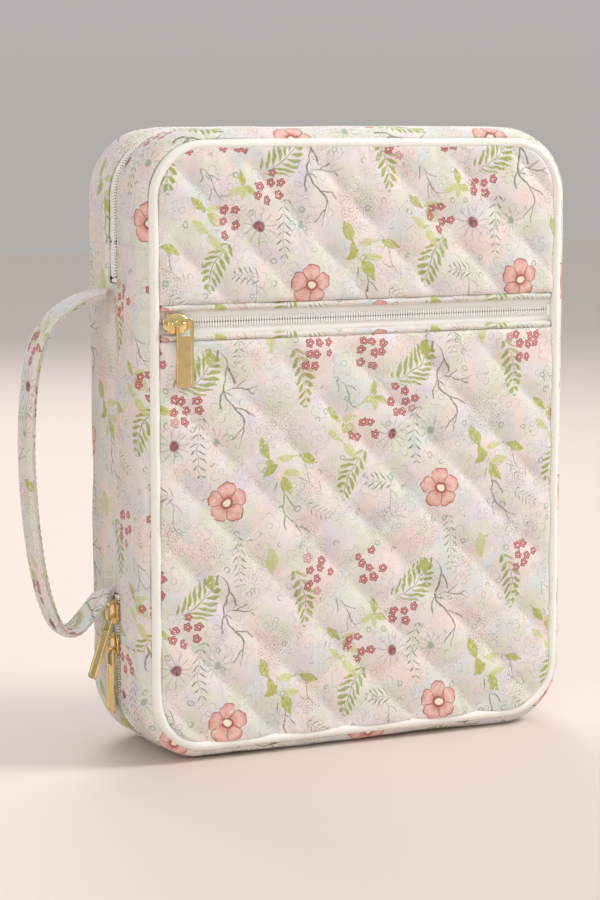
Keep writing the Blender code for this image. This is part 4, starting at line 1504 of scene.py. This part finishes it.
# %% The pocket's tape and teeth
coil_low, coil_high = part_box("pocket_coil_upper")
POCKET_Z = coil_low[2] - 0.3 * MM
UNDER = 3 * MM  # the tape's ends go under the piping
for place, way in (("upper", 1), ("lower", -1)):
    low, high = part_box(f"pocket_tape_{place}")
    profile = []
    for share in TAPE_ACROSS:
        out = TAPE_EDGE + share * (high[2] - low[2])
        ridge = 0.5 * MM * math.exp(-(((out - 3.9 * MM) / (0.7 * MM)) ** 2))
        profile.append((low[1] - 0.9 * MM - ridge, POCKET_Z + way * out))
    stations = walk(low[0] - UNDER, high[0] + UNDER, 4 * MM)
    far = lengths_along(profile)
    rows = [[(x, y, z) for y, z in profile] for x in stations]
    uvs = [[(x - low[0], v) for v in far] for x in stations]
    if way > 0:
        rows, uvs = turned_over(rows, uvs)
    tape = thicken(grid_object(f"pocket_tape_{place}_woven", rows, uvs, tape_twill), 0.6 * MM)
    hang(tape, "front_half", f"pocket_tape_{place}")

    run = [
        (x, coil_low[1] + 0.1 * MM, POCKET_Z + way * TOOTH_OUT)
        for x in walk(coil_low[0] - UNDER, coil_high[0] + UNDER, 3 * MM)
    ]
    row = beads_along(
        f"pocket_teeth_{place}", [run], TOOTH_PITCH, TOOTH, (0.0, 0.0, 1.0), 0.0, nylon
    )
    hang(row, "front_half", f"pocket_coil_{place}")


# %% The stops at the zips' ends
def rounded_block(name, low, high, finish, bevel):
    """A small block with rounded edges, worn round like a pressed nylon or metal stop."""
    low, high = Vector(low), Vector(high)
    corners = [(x, y, z) for x in (low.x, high.x) for y in (low.y, high.y) for z in (low.z, high.z)]
    sides = ((0, 1, 3, 2), (4, 6, 7, 5), (0, 4, 5, 1), (2, 3, 7, 6), (0, 2, 6, 4), (1, 5, 7, 3))
    mesh = bpy.data.meshes.new(name)
    mesh.from_pydata(corners, [], sides)
    mesh.materials.append(finish)
    mesh.shade_smooth()
    piece = into_scene(name, mesh)
    rounding = piece.modifiers.new("rounding", "BEVEL")
    rounding.width = bevel
    rounding.segments = 3
    return piece


for node, body in (
    ("zip_stop_lower", "spine"), ("zip_stop_upper", "spine"), ("pocket_stop", "front_half")
):
    low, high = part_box(node)
    stop = rounded_block(f"{node}_pressed", low, high, nylon, 0.5 * MM)
    hang(stop, body, node)

# %% [markdown]
# ## The strap
#
# The strap is a padded tube of the print, pressed flat and gathered to a point where each end goes
# into the spine's seam. It bows out from the spine and hangs a little below its lower end. Straps
# this narrow are destroyed by remeshing, so it is swept directly along its route.

# %% Sweep the strap
STRAP_ROUTE = (  # outwards as a share of the reach, height as a share of the ends' distance
    (0.0, 1.0), (0.18, 0.995), (0.45, 0.968), (0.72, 0.905), (0.90, 0.800), (0.98, 0.640),
    (1.0, 0.450), (0.95, 0.220), (0.84, 0.020), (0.68, -0.105), (0.50, -0.125), (0.32, -0.078),
    (0.15, -0.022), (0.0, 0.0),
)
STRAP_GAP = 0.6 * MM
STRAP_HALF_WIDTH = (strap_high[1] - strap_low[1]) / 2
STRAP_THICK = 4.2 * MM
STRAP_REACH = (LEFT - strap_low[0]) - STRAP_THICK / 2
STRAP_TOP = SLOT_HIGH - 4 * MM
STRAP_FOOT = SLOT_LOW + 2 * MM
STRAP_FLARE = 1.8  # kept narrow near the spine, so the strap can swing to both sides
STRAP_NECK = 0.8 * MM
STRAP_SAMPLES = 9
STRAP_ROUND = 26
STRAP_SQUARE, STRAP_ROUNDING = 0.55, 0.75  # below 1 the section is flatter than an ellipse
SEAM_AT, SEAM_HALF, SEAM_DENT = 0.80, 0.07, 0.30  # shares of the half width, and of the thickness
PLEAT_DEPTH, PLEAT_RATE = 0.30, 14  # of the gathers at its ends
STRAP_LUMPS = 0.10


def catmull_rom(before, start, end, after, share):
    """A point on the smooth curve from start to end."""
    return 0.5 * (
        2 * start
        + (end - before) * share
        + (2 * before - 5 * start + 4 * end - after) * share**2
        + (3 * start - before - 3 * end + after) * share**3
    )


def signed_power(value, power):
    """A power of a value's size, with its sign kept, as a superellipse needs."""
    return math.copysign(abs(value) ** power, value)


def strap_line():
    rise = STRAP_TOP - STRAP_FOOT
    route = [
        Vector((STRAP_GAP + out * (STRAP_REACH - STRAP_GAP), STRAP_FOOT + up * rise))
        for out, up in STRAP_ROUTE
    ]
    route = [2 * route[0] - route[1], *route, 2 * route[-1] - route[-2]]
    line = []
    for k in range(1, len(route) - 2):
        stretch = route[k - 1 : k + 3]
        line += [catmull_rom(*stretch, step / STRAP_SAMPLES) for step in range(STRAP_SAMPLES)]
    return [*line, route[-2]]


line = strap_line()
rows, uvs, seams = [], [], {-1: [], 1: []}
walked = 0.0
for k, here in enumerate(line):
    ahead, behind = line[min(k + 1, len(line) - 1)], line[max(k - 1, 0)]
    along = (ahead - behind).normalized()
    across = Vector((-along.y, along.x))
    walked += (here - line[k - 1]).length if k else 0.0
    near = max(here.x - abs(across.x) * STRAP_THICK / 2, STRAP_GAP)
    half = min(STRAP_HALF_WIDTH, max(STRAP_NECK, STRAP_FLARE * (near - STRAP_NECK)))
    gather = 1 - half / STRAP_HALF_WIDTH
    ring, cloth = [], []
    for step in range(STRAP_ROUND + 1):
        angle = 2 * math.pi * step / STRAP_ROUND
        level = signed_power(math.cos(angle), STRAP_SQUARE)
        bulge = signed_power(math.sin(angle), STRAP_ROUNDING)
        dent = 1 - SEAM_DENT * math.exp(-(((abs(level) - SEAM_AT) / SEAM_HALF) ** 2))
        pleat = 1 + PLEAT_DEPTH * gather * math.cos(level * PLEAT_RATE)
        lump = 1 + STRAP_LUMPS * crumple((walked, level * 0.01, bulge * 0.003), 0.012, 31)
        out = bulge * STRAP_THICK / 2 * dent * pleat * lump
        reach = max(here.x + across.x * out, STRAP_GAP)
        ring.append((LEFT - reach, MIDDLE_Y + level * half, here.y + across.y * out))
        cloth.append((walked + 0.02, level * half + (0.03 if bulge > 0 else 0.055)))
    rows.append(ring[:-1])
    uvs.append(cloth)
    for side in seams:
        if gather < 0.05:
            level = here + across * (STRAP_THICK / 2 * 0.72) * side
            seams[side].append((level, half * SEAM_AT))
strap = grid_object("strap_cloth", rows, uvs, floral, close_columns=True)
cap_ends(strap)
thicken(strap, None)
hang(strap, "handle", "strap_handle")

runs = [
    [(LEFT - level.x, MIDDLE_Y + edge * out, level.y) for level, out in seams[side]]
    for side in seams
    for edge in (-1, 1)
]
stitches = beads_along(
    "strap_stitches", runs, 3.0 * MM, (2.1 * MM, 0.5 * MM, 0.5 * MM), (0.0, 1.0, 0.0), 0.1,
    thread_white,
)
hang(stitches, "handle")
print(f"strap: {walked:.3f} m along its middle")

# %% [markdown]
# ## Sliders and pulls
#
# The three sliders are die-cast: a plate with a waist over the coil, a skirt down each side and a
# bridge that the pull hangs from. The pull is a flat frame with a window for the bridge and a sunk
# panel below. Cast metal has no sharp edge, so every edge gets a small bevel, and the highlights
# that run along those bevels are what make it look like metal.

# %% Cast parts
def solid_object(name, rings, finish, closed, bevel):
    """Loft equal rings of points into a closed body with bevelled edges."""
    count, wide = len(rings), len(rings[0])
    faces = []
    for r in range(count if closed else count - 1):
        for c in range(wide):
            faces.append((
                r * wide + c, r * wide + (c + 1) % wide,
                (r + 1) % count * wide + (c + 1) % wide, (r + 1) % count * wide + c,
            ))
    if not closed:
        faces += [tuple(range(wide))[::-1], tuple(range((count - 1) * wide, count * wide))]
    mesh = bpy.data.meshes.new(name)
    mesh.from_pydata([point for ring in rings for point in ring], [], faces)
    form = bmesh.new()
    form.from_mesh(mesh)
    bmesh.ops.recalc_face_normals(form, faces=form.faces[:])
    form.to_mesh(mesh)
    form.free()
    mesh.materials.append(finish)
    mesh.shade_smooth()
    mesh.set_sharp_from_angle(angle=math.radians(50))
    piece = into_scene(name, mesh)
    if bevel:
        rounding = piece.modifiers.new("rounding", "BEVEL")
        rounding.width = bevel
        rounding.segments = 3
        rounding.limit_method = "ANGLE"
        rounding.angle_limit = math.radians(35)
    return piece


def flatten_modifiers(piece):
    """Replace a piece's mesh by its evaluated one."""
    depsgraph = bpy.context.evaluated_depsgraph_get()
    mesh = bpy.data.meshes.new_from_object(piece.evaluated_get(depsgraph), depsgraph=depsgraph)
    piece.modifiers.clear()
    piece.data = mesh
    return piece


def join_pieces(name, pieces, place):
    """One mesh of several, moved to its place."""
    form = bmesh.new()
    finish = pieces[0].data.materials[0]
    for piece in pieces:
        flatten_modifiers(piece)
        form.from_mesh(piece.data)
        bpy.data.objects.remove(piece, do_unlink=True)
    form.transform(place)
    mesh = bpy.data.meshes.new(name)
    form.to_mesh(mesh)
    form.free()
    mesh.materials.append(finish)
    return into_scene(name, mesh)


def own_axes(middle, outwards, along):
    """A slider's own axes: x across the zip, y along its travel, z out of the cloth."""
    turn = Matrix((along.cross(outwards), along, outwards)).transposed().to_4x4()
    return Matrix.Translation(middle) @ turn


def rounded_outline(half_width, low, high, radius, steps=5):
    points = []
    for x, y, start in (
        (half_width - radius, high - radius, 90), (half_width - radius, low + radius, 0),
        (radius - half_width, low + radius, -90), (radius - half_width, high - radius, -180),
    ):
        for step in range(steps + 1):
            angle = math.radians(start - 90 * step / steps)
            points.append((x + radius * math.cos(angle), y + radius * math.sin(angle)))
    return points


PLATE = 1.2 * MM
END_WIDTH = 0.64  # of the plate's ends, as a share of its middle
SKIRT_OUT, SKIRT_IN = 0.4 * MM, 1.5 * MM  # a skirt's faces, from the plate's side
SKIRT_SHARE = 0.34  # of the slider's length, to each side of its middle
BRIDGE_HALF = 4.0 * MM
BRIDGE_HALF_WIDE, BRIDGE_HALF_TALL = 0.85 * MM, 0.48 * MM
PULL_THICK = 1.2 * MM
PULL_WIDTH = 8 * MM
PULL_RAIL = 1.35 * MM
PULL_WINDOW = 6.5 * MM
PULL_BAR = 1.3 * MM  # below the window
PULL_CORNER, WINDOW_CORNER = 1.6 * MM, 0.8 * MM
PANEL_HALF = 0.28 * MM
BITE = 0.3 * MM  # how far one cast part runs into the next


def waisted_plan(length, width, count=40):
    """An outline that narrows towards both ends and bulges over the coil."""
    points = []
    for k in range(count):
        angle = 2 * math.pi * k / count
        y = signed_power(math.sin(angle), 0.62) * length / 2
        wide = END_WIDTH + (1 - END_WIDTH) * math.cos(math.pi * y / length) ** 2
        x = signed_power(math.cos(angle), 0.5) * wide * width / 2
        points.append((x, y))
    return points


def cast_slider(name, length, width, depth, place):
    plan = waisted_plan(length, width)
    inner = waisted_plan(length * 0.80, width * 0.76)
    plate = solid_object(
        "plate",
        [[(x, y, z) for x, y in outline] for outline, z in (
            (plan, -0.2 * MM), (plan, 0.65 * MM), (inner, PLATE)
        )],
        gold, False, 0.18 * MM,
    )
    skirts = []
    for side in (-1, 1):
        x0, x1 = side * (width / 2 - SKIRT_IN), side * (width / 2 - SKIRT_OUT)
        skirt = solid_object(
            "skirt",
            [[(x0, y, -depth), (x1, y, -depth), (x1, y, 0.2 * MM), (x0, y, 0.2 * MM)]
             for y in (-length * SKIRT_SHARE, length * SKIRT_SHARE)],
            gold, False, 0.25 * MM,
        )
        skirts.append(skirt)
    path = [
        (-BRIDGE_HALF + 0.5 * MM, 0.4 * MM), (-BRIDGE_HALF + 0.45 * MM, 2.4 * MM),
        (-BRIDGE_HALF + 0.9 * MM, 3.5 * MM), (-BRIDGE_HALF + 2.0 * MM, 3.9 * MM),
        (0.0, 3.95 * MM),
    ]
    path += [(-y, z) for y, z in reversed(path[:-1])]
    wide = BRIDGE_HALF_WIDE
    rings = []
    for k, (y, z) in enumerate(path):
        ahead, behind = path[min(k + 1, len(path) - 1)], path[max(k - 1, 0)]
        dy, dz = ahead[0] - behind[0], ahead[1] - behind[1]
        size = math.hypot(dy, dz)
        ny, nz = -dz / size * BRIDGE_HALF_TALL, dy / size * BRIDGE_HALF_TALL
        rings.append([
            (-wide, y + ny, z + nz), (wide, y + ny, z + nz),
            (wide, y - ny, z - nz), (-wide, y - ny, z - nz),
        ])
    bridge = solid_object("bridge", rings, gold, False, 0.3 * MM)
    return join_pieces(name, [plate, *skirts, bridge], place)


def framed_pull(name, width, length, head, bar, place):
    """A frame with a window at its head and a sunk panel below it."""
    half, foot = PULL_THICK / 2, head + bar - length
    outer = rounded_outline(width / 2, foot, head + bar, PULL_CORNER)
    inner = rounded_outline(width / 2 - PULL_RAIL, foot + PULL_RAIL, head, WINDOW_CORNER)
    frame_ring = solid_object(
        "frame",
        [[(x, y, z) for x, y in outline] for outline, z in (
            (outer, -half), (outer, half), (inner, half), (inner, -half)
        )],
        gold, True, 0.22 * MM,
    )
    inside = width / 2 - PULL_RAIL + BITE
    low, high = head - PULL_WINDOW - PULL_BAR, head - PULL_WINDOW
    crossbar = solid_object(
        "crossbar",
        [[(x, low, half), (x, low, -half), (x, high, -half), (x, high, half)]
         for x in (-inside, inside)],
        gold, False, 0.2 * MM,
    )
    sill, lintel, sunk = foot + PULL_RAIL - BITE, low + BITE, PANEL_HALF
    panel = solid_object(
        "panel",
        [[(x, sill, -sunk), (x, sill, sunk), (x, lintel, sunk), (x, lintel, -sunk)]
         for x in (-inside, inside)],
        gold, False, 0.0,
    )
    return join_pieces(name, [frame_ring, crossbar, panel], place)


# %% Place the three sliders and their pulls
joint_at = {joint["name"]: Vector(joint["pos_m"]) for joint in frame["joints"] if "pos_m" in joint}
UP, OUT_LEFT, OUT_FRONT, ACROSS_X = (
    Vector((0, 0, 1)), Vector((-1, 0, 0)), Vector((0, -1, 0)), Vector((1, 0, 0))
)
CROSSBAR_HALF = 0.65 * MM
pull_a_low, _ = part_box("main_pull_a")
upper_hinge, lower_hinge = joint_at["upper_pull_lift"], joint_at["lower_pull_lift"]
PULL_LENGTH = lower_hinge.z + CROSSBAR_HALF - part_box("main_pull_b")[0][2]
UPPER_TILT = math.asin(
    (upper_hinge.x - pull_a_low[0] - PULL_THICK / 2) / (PULL_LENGTH - CROSSBAR_HALF)
)
for letter, slider_body, pull_body, hinge, tilt in (
    ("a", "spine", "upper_pull", upper_hinge, UPPER_TILT),
    ("b", "lower_slider", "lower_pull", lower_hinge, 0.0),
):
    low, high = (Vector(corner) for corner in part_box(f"main_slider_{letter}"))
    middle = Vector((LEFT, MIDDLE_Y, (low.z + high.z) / 2))
    slider = cast_slider(
        f"main_slider_{letter}_cast", high.z - low.z, high.y - low.y, 2.5 * MM,
        own_axes(middle, OUT_LEFT, UP),
    )
    hang(slider, slider_body, f"main_slider_{letter}")
    place = own_axes(hinge, OUT_LEFT, UP) @ Matrix.Rotation(-tilt, 4, "X")
    pull = framed_pull(
        f"main_pull_{letter}_cast", PULL_WIDTH, PULL_LENGTH, -CROSSBAR_HALF, 2 * CROSSBAR_HALF, place
    )
    hang(pull, pull_body, f"main_pull_{letter}")

low, high = (Vector(corner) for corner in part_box("pocket_slider"))
middle = Vector(((low.x + high.x) / 2, FRONT, (low.z + high.z) / 2))
slider = cast_slider(
    "pocket_slider_cast", high.x - low.x, high.z - low.z, 2.2 * MM,
    own_axes(middle, OUT_FRONT, ACROSS_X),
)
hang(slider, "pocket_runner", "pocket_slider")
hinge = joint_at["pocket_pull_swing"]
_, pull_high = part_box("pocket_pull")
head = pull_high[2] - hinge.z
pull = framed_pull(
    "pocket_pull_cast", PULL_WIDTH, PULL_LENGTH, head - 2 * CROSSBAR_HALF, 2 * CROSSBAR_HALF,
    own_axes(hinge, OUT_FRONT, UP),
)
hang(pull, "pocket_tab", "pocket_pull")
print("hardware placed; upper pull tilts", round(math.degrees(UPPER_TILT), 1), "degrees")

# %% [markdown]
# ## The inside
#
# Opened flat, the case shows a plain cotton lining, three elastic bands that hold needles and hooks
# on the cover, and an open slip pocket on the back. The lining is loose cloth over board, so it
# shows long soft ripples; the elastic is sewn down in channels, so it scallops.

# %% Lining sheets
def evened(row, count):
    """A row of points resampled to a count, so that all rows of a grid are equally long."""
    even = []
    for k in range(count):
        place = k / (count - 1) * (len(row) - 1)
        first = min(int(place), len(row) - 2)
        share = place - first
        even.append(tuple(a + (b - a) * share for a, b in zip(row[first], row[first + 1])))
    return even


def face_sheet(name, node, side, finish, ripple, seed, step=6 * MM, round_low=True, round_high=True):
    """A cloth the shape of a flat node, facing into the case, with soft ripples."""
    (x0, y0, z0), (x1, y1, z1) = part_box(node)
    face = y1 if side < 0 else y0
    radius = CORNER - (x0 - LEFT)
    heights = walk(z0, z1, step)
    if round_low:
        bends = [z0 + radius * (1 - math.cos(math.pi / 2 * k / 8)) for k in range(8)]
        heights = bends + [z for z in heights if z > z0 + radius]
    if round_high:
        bends = [z1 - radius * (1 - math.cos(math.pi / 2 * k / 8)) for k in range(7, -1, -1)]
        heights = [z for z in heights if z < z1 - radius] + bends
    rows = []
    for z in heights:
        short = 0.0
        if round_low and z < z0 + radius:
            short = (z0 + radius - z) / radius
        if round_high and z > z1 - radius:
            short = (z - z1 + radius) / radius
        trim = radius * (1 - math.sqrt(max(0.0, 1 - short * short)))
        row = []
        for x in walk(x0 + trim, x1 - trim, step):
            share = (x - x0 - trim) / (x1 - x0 - 2 * trim)
            quiet = min(1.0, 8 * share, 8 * (1 - share))
            wave = crumple((x, 0, z * 0.6), 35 * MM, seed) * ripple * quiet
            row.append((x, face - side * (wave + ripple * 0.4 * quiet), z))
        rows.append(row)
    most = max(len(row) for row in rows)
    rows = [evened(row, most) for row in rows]
    uvs = [[(x - x0, z - z0) for x, _, z in row] for row in rows]
    if side < 0:
        rows, uvs = turned_over(rows, uvs)
    piece = thicken(grid_object(name, rows, uvs, finish), 0.6 * MM)
    return piece


hang(
    face_sheet("front_lining_cloth", "front_lining", -1, lining_cotton, 0.3 * MM, 41),
    "front_half", "front_lining",
)
hang(
    face_sheet("back_lining_cloth", "back_lining", 1, lining_cotton, 0.3 * MM, 42),
    "back_half", "back_lining",
)
hang(
    face_sheet("slip_pocket_cloth", "slip_pocket", 1, floral, 0.5 * MM, 43, round_high=False),
    "back_half", "slip_pocket",
)
hang(
    round_strip("slip_pocket_binding_strip", "slip_pocket_binding", white_cotton, seed=9),
    "back_half", "slip_pocket_binding",
)


# %% Wall linings
LINING_INSET = 4.3 * MM  # from the case's outline to the lining
LINING_LANES = 6
LINING_RIPPLE, RIPPLE_SIZE = 0.25 * MM, 20 * MM


def lining_sheet(name, side, start, end):
    (_, low_y, _), (_, high_y, _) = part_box("front_wall_lining" if side < 0 else "back_wall_lining")
    y0, y1 = (low_y, high_y) if side > 0 else (high_y, low_y)
    lanes = [y0 + (y1 - y0) * k / LINING_LANES for k in range(LINING_LANES + 1)]
    stations = walk(start, end, 6 * MM)
    rows = []
    for s in stations:
        row = []
        for k, y in enumerate(lanes):
            ripple = LINING_RIPPLE * crumple(edge_place(s, LINING_INSET, y), RIPPLE_SIZE, 51)
            ripple *= math.sin(math.pi * k / LINING_LANES)
            row.append(edge_place(s, LINING_INSET + ripple, y))
        rows.append(row)
    uvs = [[(s, abs(y - y0)) for y in lanes] for s in stations]
    if side < 0:
        rows, uvs = turned_over(rows, uvs)
    piece = thicken(grid_object(name, rows, uvs, lining_cotton), 0.5 * MM)
    corners = 2 if end - start > WIDTH else 1  # the long stretch goes round two
    shorter = corners * LINING_INSET * math.pi / 2
    abs(y1 - y0)
    end - start - shorter
    return piece


for half, stretch, piece in along_the_edge("wall_lining_cloth", lining_sheet):
    if stretch == "round":
        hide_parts(f"{half}_wall_lining")

_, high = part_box("spine_lining")
LINING_REACH = HALF_DEPTH - 3.6 * MM  # to each side, so that it hides the outer cloth's back
LINING_TURN = HALF_DEPTH - SHOULDER_DEPTH
steps_y = walk(MIDDLE_Y - LINING_REACH, MIDDLE_Y + LINING_REACH, 3 * MM)
heights = walk(SPINE_FOOT_END, SPINE_TOP_END, 6 * MM)
rows = []
for z in heights:
    row = []
    for y in steps_y:
        turned_in = max(0.0, abs(y - MIDDLE_Y) - LINING_TURN) / (LINING_REACH - LINING_TURN)
        ripple = LINING_RIPPLE * crumple((0, y, z), RIPPLE_SIZE, 52)
        row.append((high[0] - 0.3 * MM - ripple + 1.6 * MM * turned_in**2, y, z))
    rows.append(row)
uvs = [[(z, y) for y in steps_y] for z in heights]
spine_inner = thicken(grid_object("spine_lining_cloth", rows, uvs, lining_cotton), 0.5 * MM)
2 * LINING_REACH
heights[-1] - heights[0]
hang(spine_inner, "spine", "spine_lining")

# %% Elastic bands in channels
CHANNELS = 11
for place in ("lower", "middle", "upper"):
    (x0, y0, z0), (x1, y1, z1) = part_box(f"needle_band_{place}")
    stations = walk(x0, x1, 1.5 * MM)
    levels = walk(z0, z1, 2.5 * MM)
    rows, uvs = [], []
    for z in levels:
        slack = math.sin(math.pi * (z - z0) / (z1 - z0))
        rows.append([
            (
                x,
                y1 - 0.6 * MM
                + (1.0 + 0.5 * slack) * MM * abs(math.sin(math.pi * CHANNELS * (x - x0) / (x1 - x0))),
                z,
            )
            for x in stations
        ][::-1])
        uvs.append([(x - x0, z - z0) for x in stations][::-1])
    band = thicken(grid_object(f"needle_band_{place}_elastic", rows, uvs, elastic_rib), 0.8 * MM)
    hang(band, "front_half", f"needle_band_{place}")
    pleats = [
        [(x0 + (x1 - x0) * k / CHANNELS, y1 - 0.35 * MM, z) for z in walk(z0 + MM, z1 - MM, 2 * MM)]
        for k in range(CHANNELS + 1)
    ]
    tacks = beads_along(
        f"needle_band_{place}_stitches", pleats, 2.4 * MM, (1.7 * MM, 0.5 * MM, 0.5 * MM),
        (1.0, 0.0, 0.0), 0.1, thread_white,
    )
    hang(tacks, "front_half")

# %% Boards that the lining hides
for node in ("front_stiffener", "back_stiffener"):
    frame["nodes"][node].material_slots[0].material = board_grey
frame["nodes"]["pocket_bag"].material_slots[0].material = lining_cotton

# %% [markdown]
# ## Stitches
#
# Stitches are what tells a sewn thing from a moulded one. They lie on the finished surfaces, so
# their runs are found by looking straight at a panel with a ray and keeping where it lands. The
# same bead tree then lays a short thread at each stitch.

# %% Quilting thread on the panels
THREAD = (2.0 * MM, 0.42 * MM, 0.42 * MM)
THREAD_PITCH = 2.9 * MM
THREAD_LIFT = 0.02 * MM


def on_surface(tree, x, z, side):
    start = Vector((x, MIDDLE_Y + side * (HALF_DEPTH + 0.02), z))
    hit = tree.ray_cast(start, Vector((0, -side, 0)))[0]
    return None if hit is None else (hit.x, hit.y + side * THREAD_LIFT, hit.z)


def lines_over(low, high, falling):
    """Stitch lines that cross a box, as lists of (x, z)."""
    (x0, _, z0), (x1, _, z1) = low, high
    start = FALLING_FROM if falling else RISING_FROM
    way = 1 if falling else -1
    lines = []
    for k in range(-10, 20):
        total = start + k * QUILT
        run = []
        for x in walk(x0, x1, MM):
            z = FOOT + total - way * (x - MIDDLE_X)
            if z0 + 1.5 * MM < z < z1 - 1.5 * MM:
                run.append((x, z))
        if len(run) > 4:
            lines.append(run)
    return lines


for name, low, high, side, body in (
    ("front_quilt_lower", panel_low, panel_high, -1, "front_half"),
    ("front_quilt_upper", upper_low, upper_high, -1, "front_half"),
    ("back_quilt", back_low, back_high, 1, "back_half"),
):
    tree = BVHTree.FromObject(panels[name], bpy.context.evaluated_depsgraph_get())
    runs = []
    for line in lines_over(low, high, True) + lines_over(low, high, False):
        run = [on_surface(tree, x, z, side) for x, z in line]
        run = [point for point in run if point]
        if len(run) > 4:
            runs.append(run)
    sewn = beads_along(
        f"{name}_stitches", runs, THREAD_PITCH, THREAD, (0.0, 1.0, 0.0), 0.15, thread_white
    )
    hang(sewn, body)
    print(sewn.name, len(runs), "lines,", len(sewn.data.polygons), "faces")


# %% Topstitching beside the zip
TOPSTITCH = (2.3 * MM, 0.5 * MM, 0.5 * MM)
TOPSTITCH_PITCH = 3.2 * MM
FROM_SLOT, OVER_CLOTH = 2.6 * MM, 0.45 * MM


def topstitch(name, side, start, end):
    y = MIDDLE_Y + side * (ZIP_SLOT / 2 + FROM_SLOT)
    run = edge_run(start, end, -OVER_CLOTH, y)
    return beads_along(
        name, [run], TOPSTITCH_PITCH, TOPSTITCH, (0.0, 1.0, 0.0), 0.1, thread_white
    )


along_the_edge("wall_stitches", topstitch)

# %% [markdown]
# ## The setting
#
# A plain pale floor and soft studio light: one large lamp high on the right like a window, a wide
# fill from the left, and a bright even surround. The surround keeps the metal's reflections pale.

# %% Floor, lights and surround
FLOOR_REACH = 4.0
FLOOR_Z = FOOT - 0.4 * MM
floor_mesh = bpy.data.meshes.new("floor")
floor_mesh.from_pydata(
    [(FLOOR_REACH * x, FLOOR_REACH * y, FLOOR_Z) for x, y in ((-1, -1), (1, -1), (1, 1), (-1, 1))],
    [], [(0, 1, 2, 3)],
)
floor = into_scene("floor", floor_mesh)
ground, tree, shader = new_finish("pale floor", 0.6)
shader.inputs["Base Color"].default_value = dye(222, 208, 199)
floor_mesh.materials.append(ground)


def soft_light(name, place, aim, size, power, colour):
    data = bpy.data.lights.new(name, "AREA")
    data.shape = "DISK"
    data.size = size
    data.energy = power
    data.color = colour
    lamp = into_scene(name, data)
    lamp.location = place
    lamp.rotation_euler = (Vector(place) - Vector(aim)).to_track_quat("Z", "Y").to_euler()


soft_light("window", (1.15, -0.50, 1.15), (0, 0, 0.12), 0.6, 17.5, (1.0, 0.985, 0.95))
soft_light("fill", (-1.4, -1.2, 0.7), (0, 0, 0.12), 1.6, 12.0, (1.0, 0.955, 0.885))
soft_light("rim", (0.3, 1.4, 1.1), (0, 0, 0.15), 1.0, 10, (1.0, 1.0, 1.0))
world = bpy.data.worlds.new("surround")
world.use_nodes = True
tree = world.node_tree
direction = coordinates(tree, "Generated")
split = tree.nodes.new("ShaderNodeSeparateXYZ")
feed(tree, split, direction)
sideways, upwards = Field(tree, split.outputs["X"]), Field(tree, split.outputs["Z"])
room = tint(dye(206, 202, 198), upwards.soft(0.6), dye(250, 250, 252))
room = tint(room, (0.1 - sideways).soft(1.1) * 0.55, dye(150, 144, 138))
background = tree.nodes["Background"]
tree.links.new(room.socket, background.inputs["Color"])
background.inputs["Strength"].default_value = 0.72
bpy.context.scene.world = world
bpy.context.scene.view_settings.view_transform = "Standard"
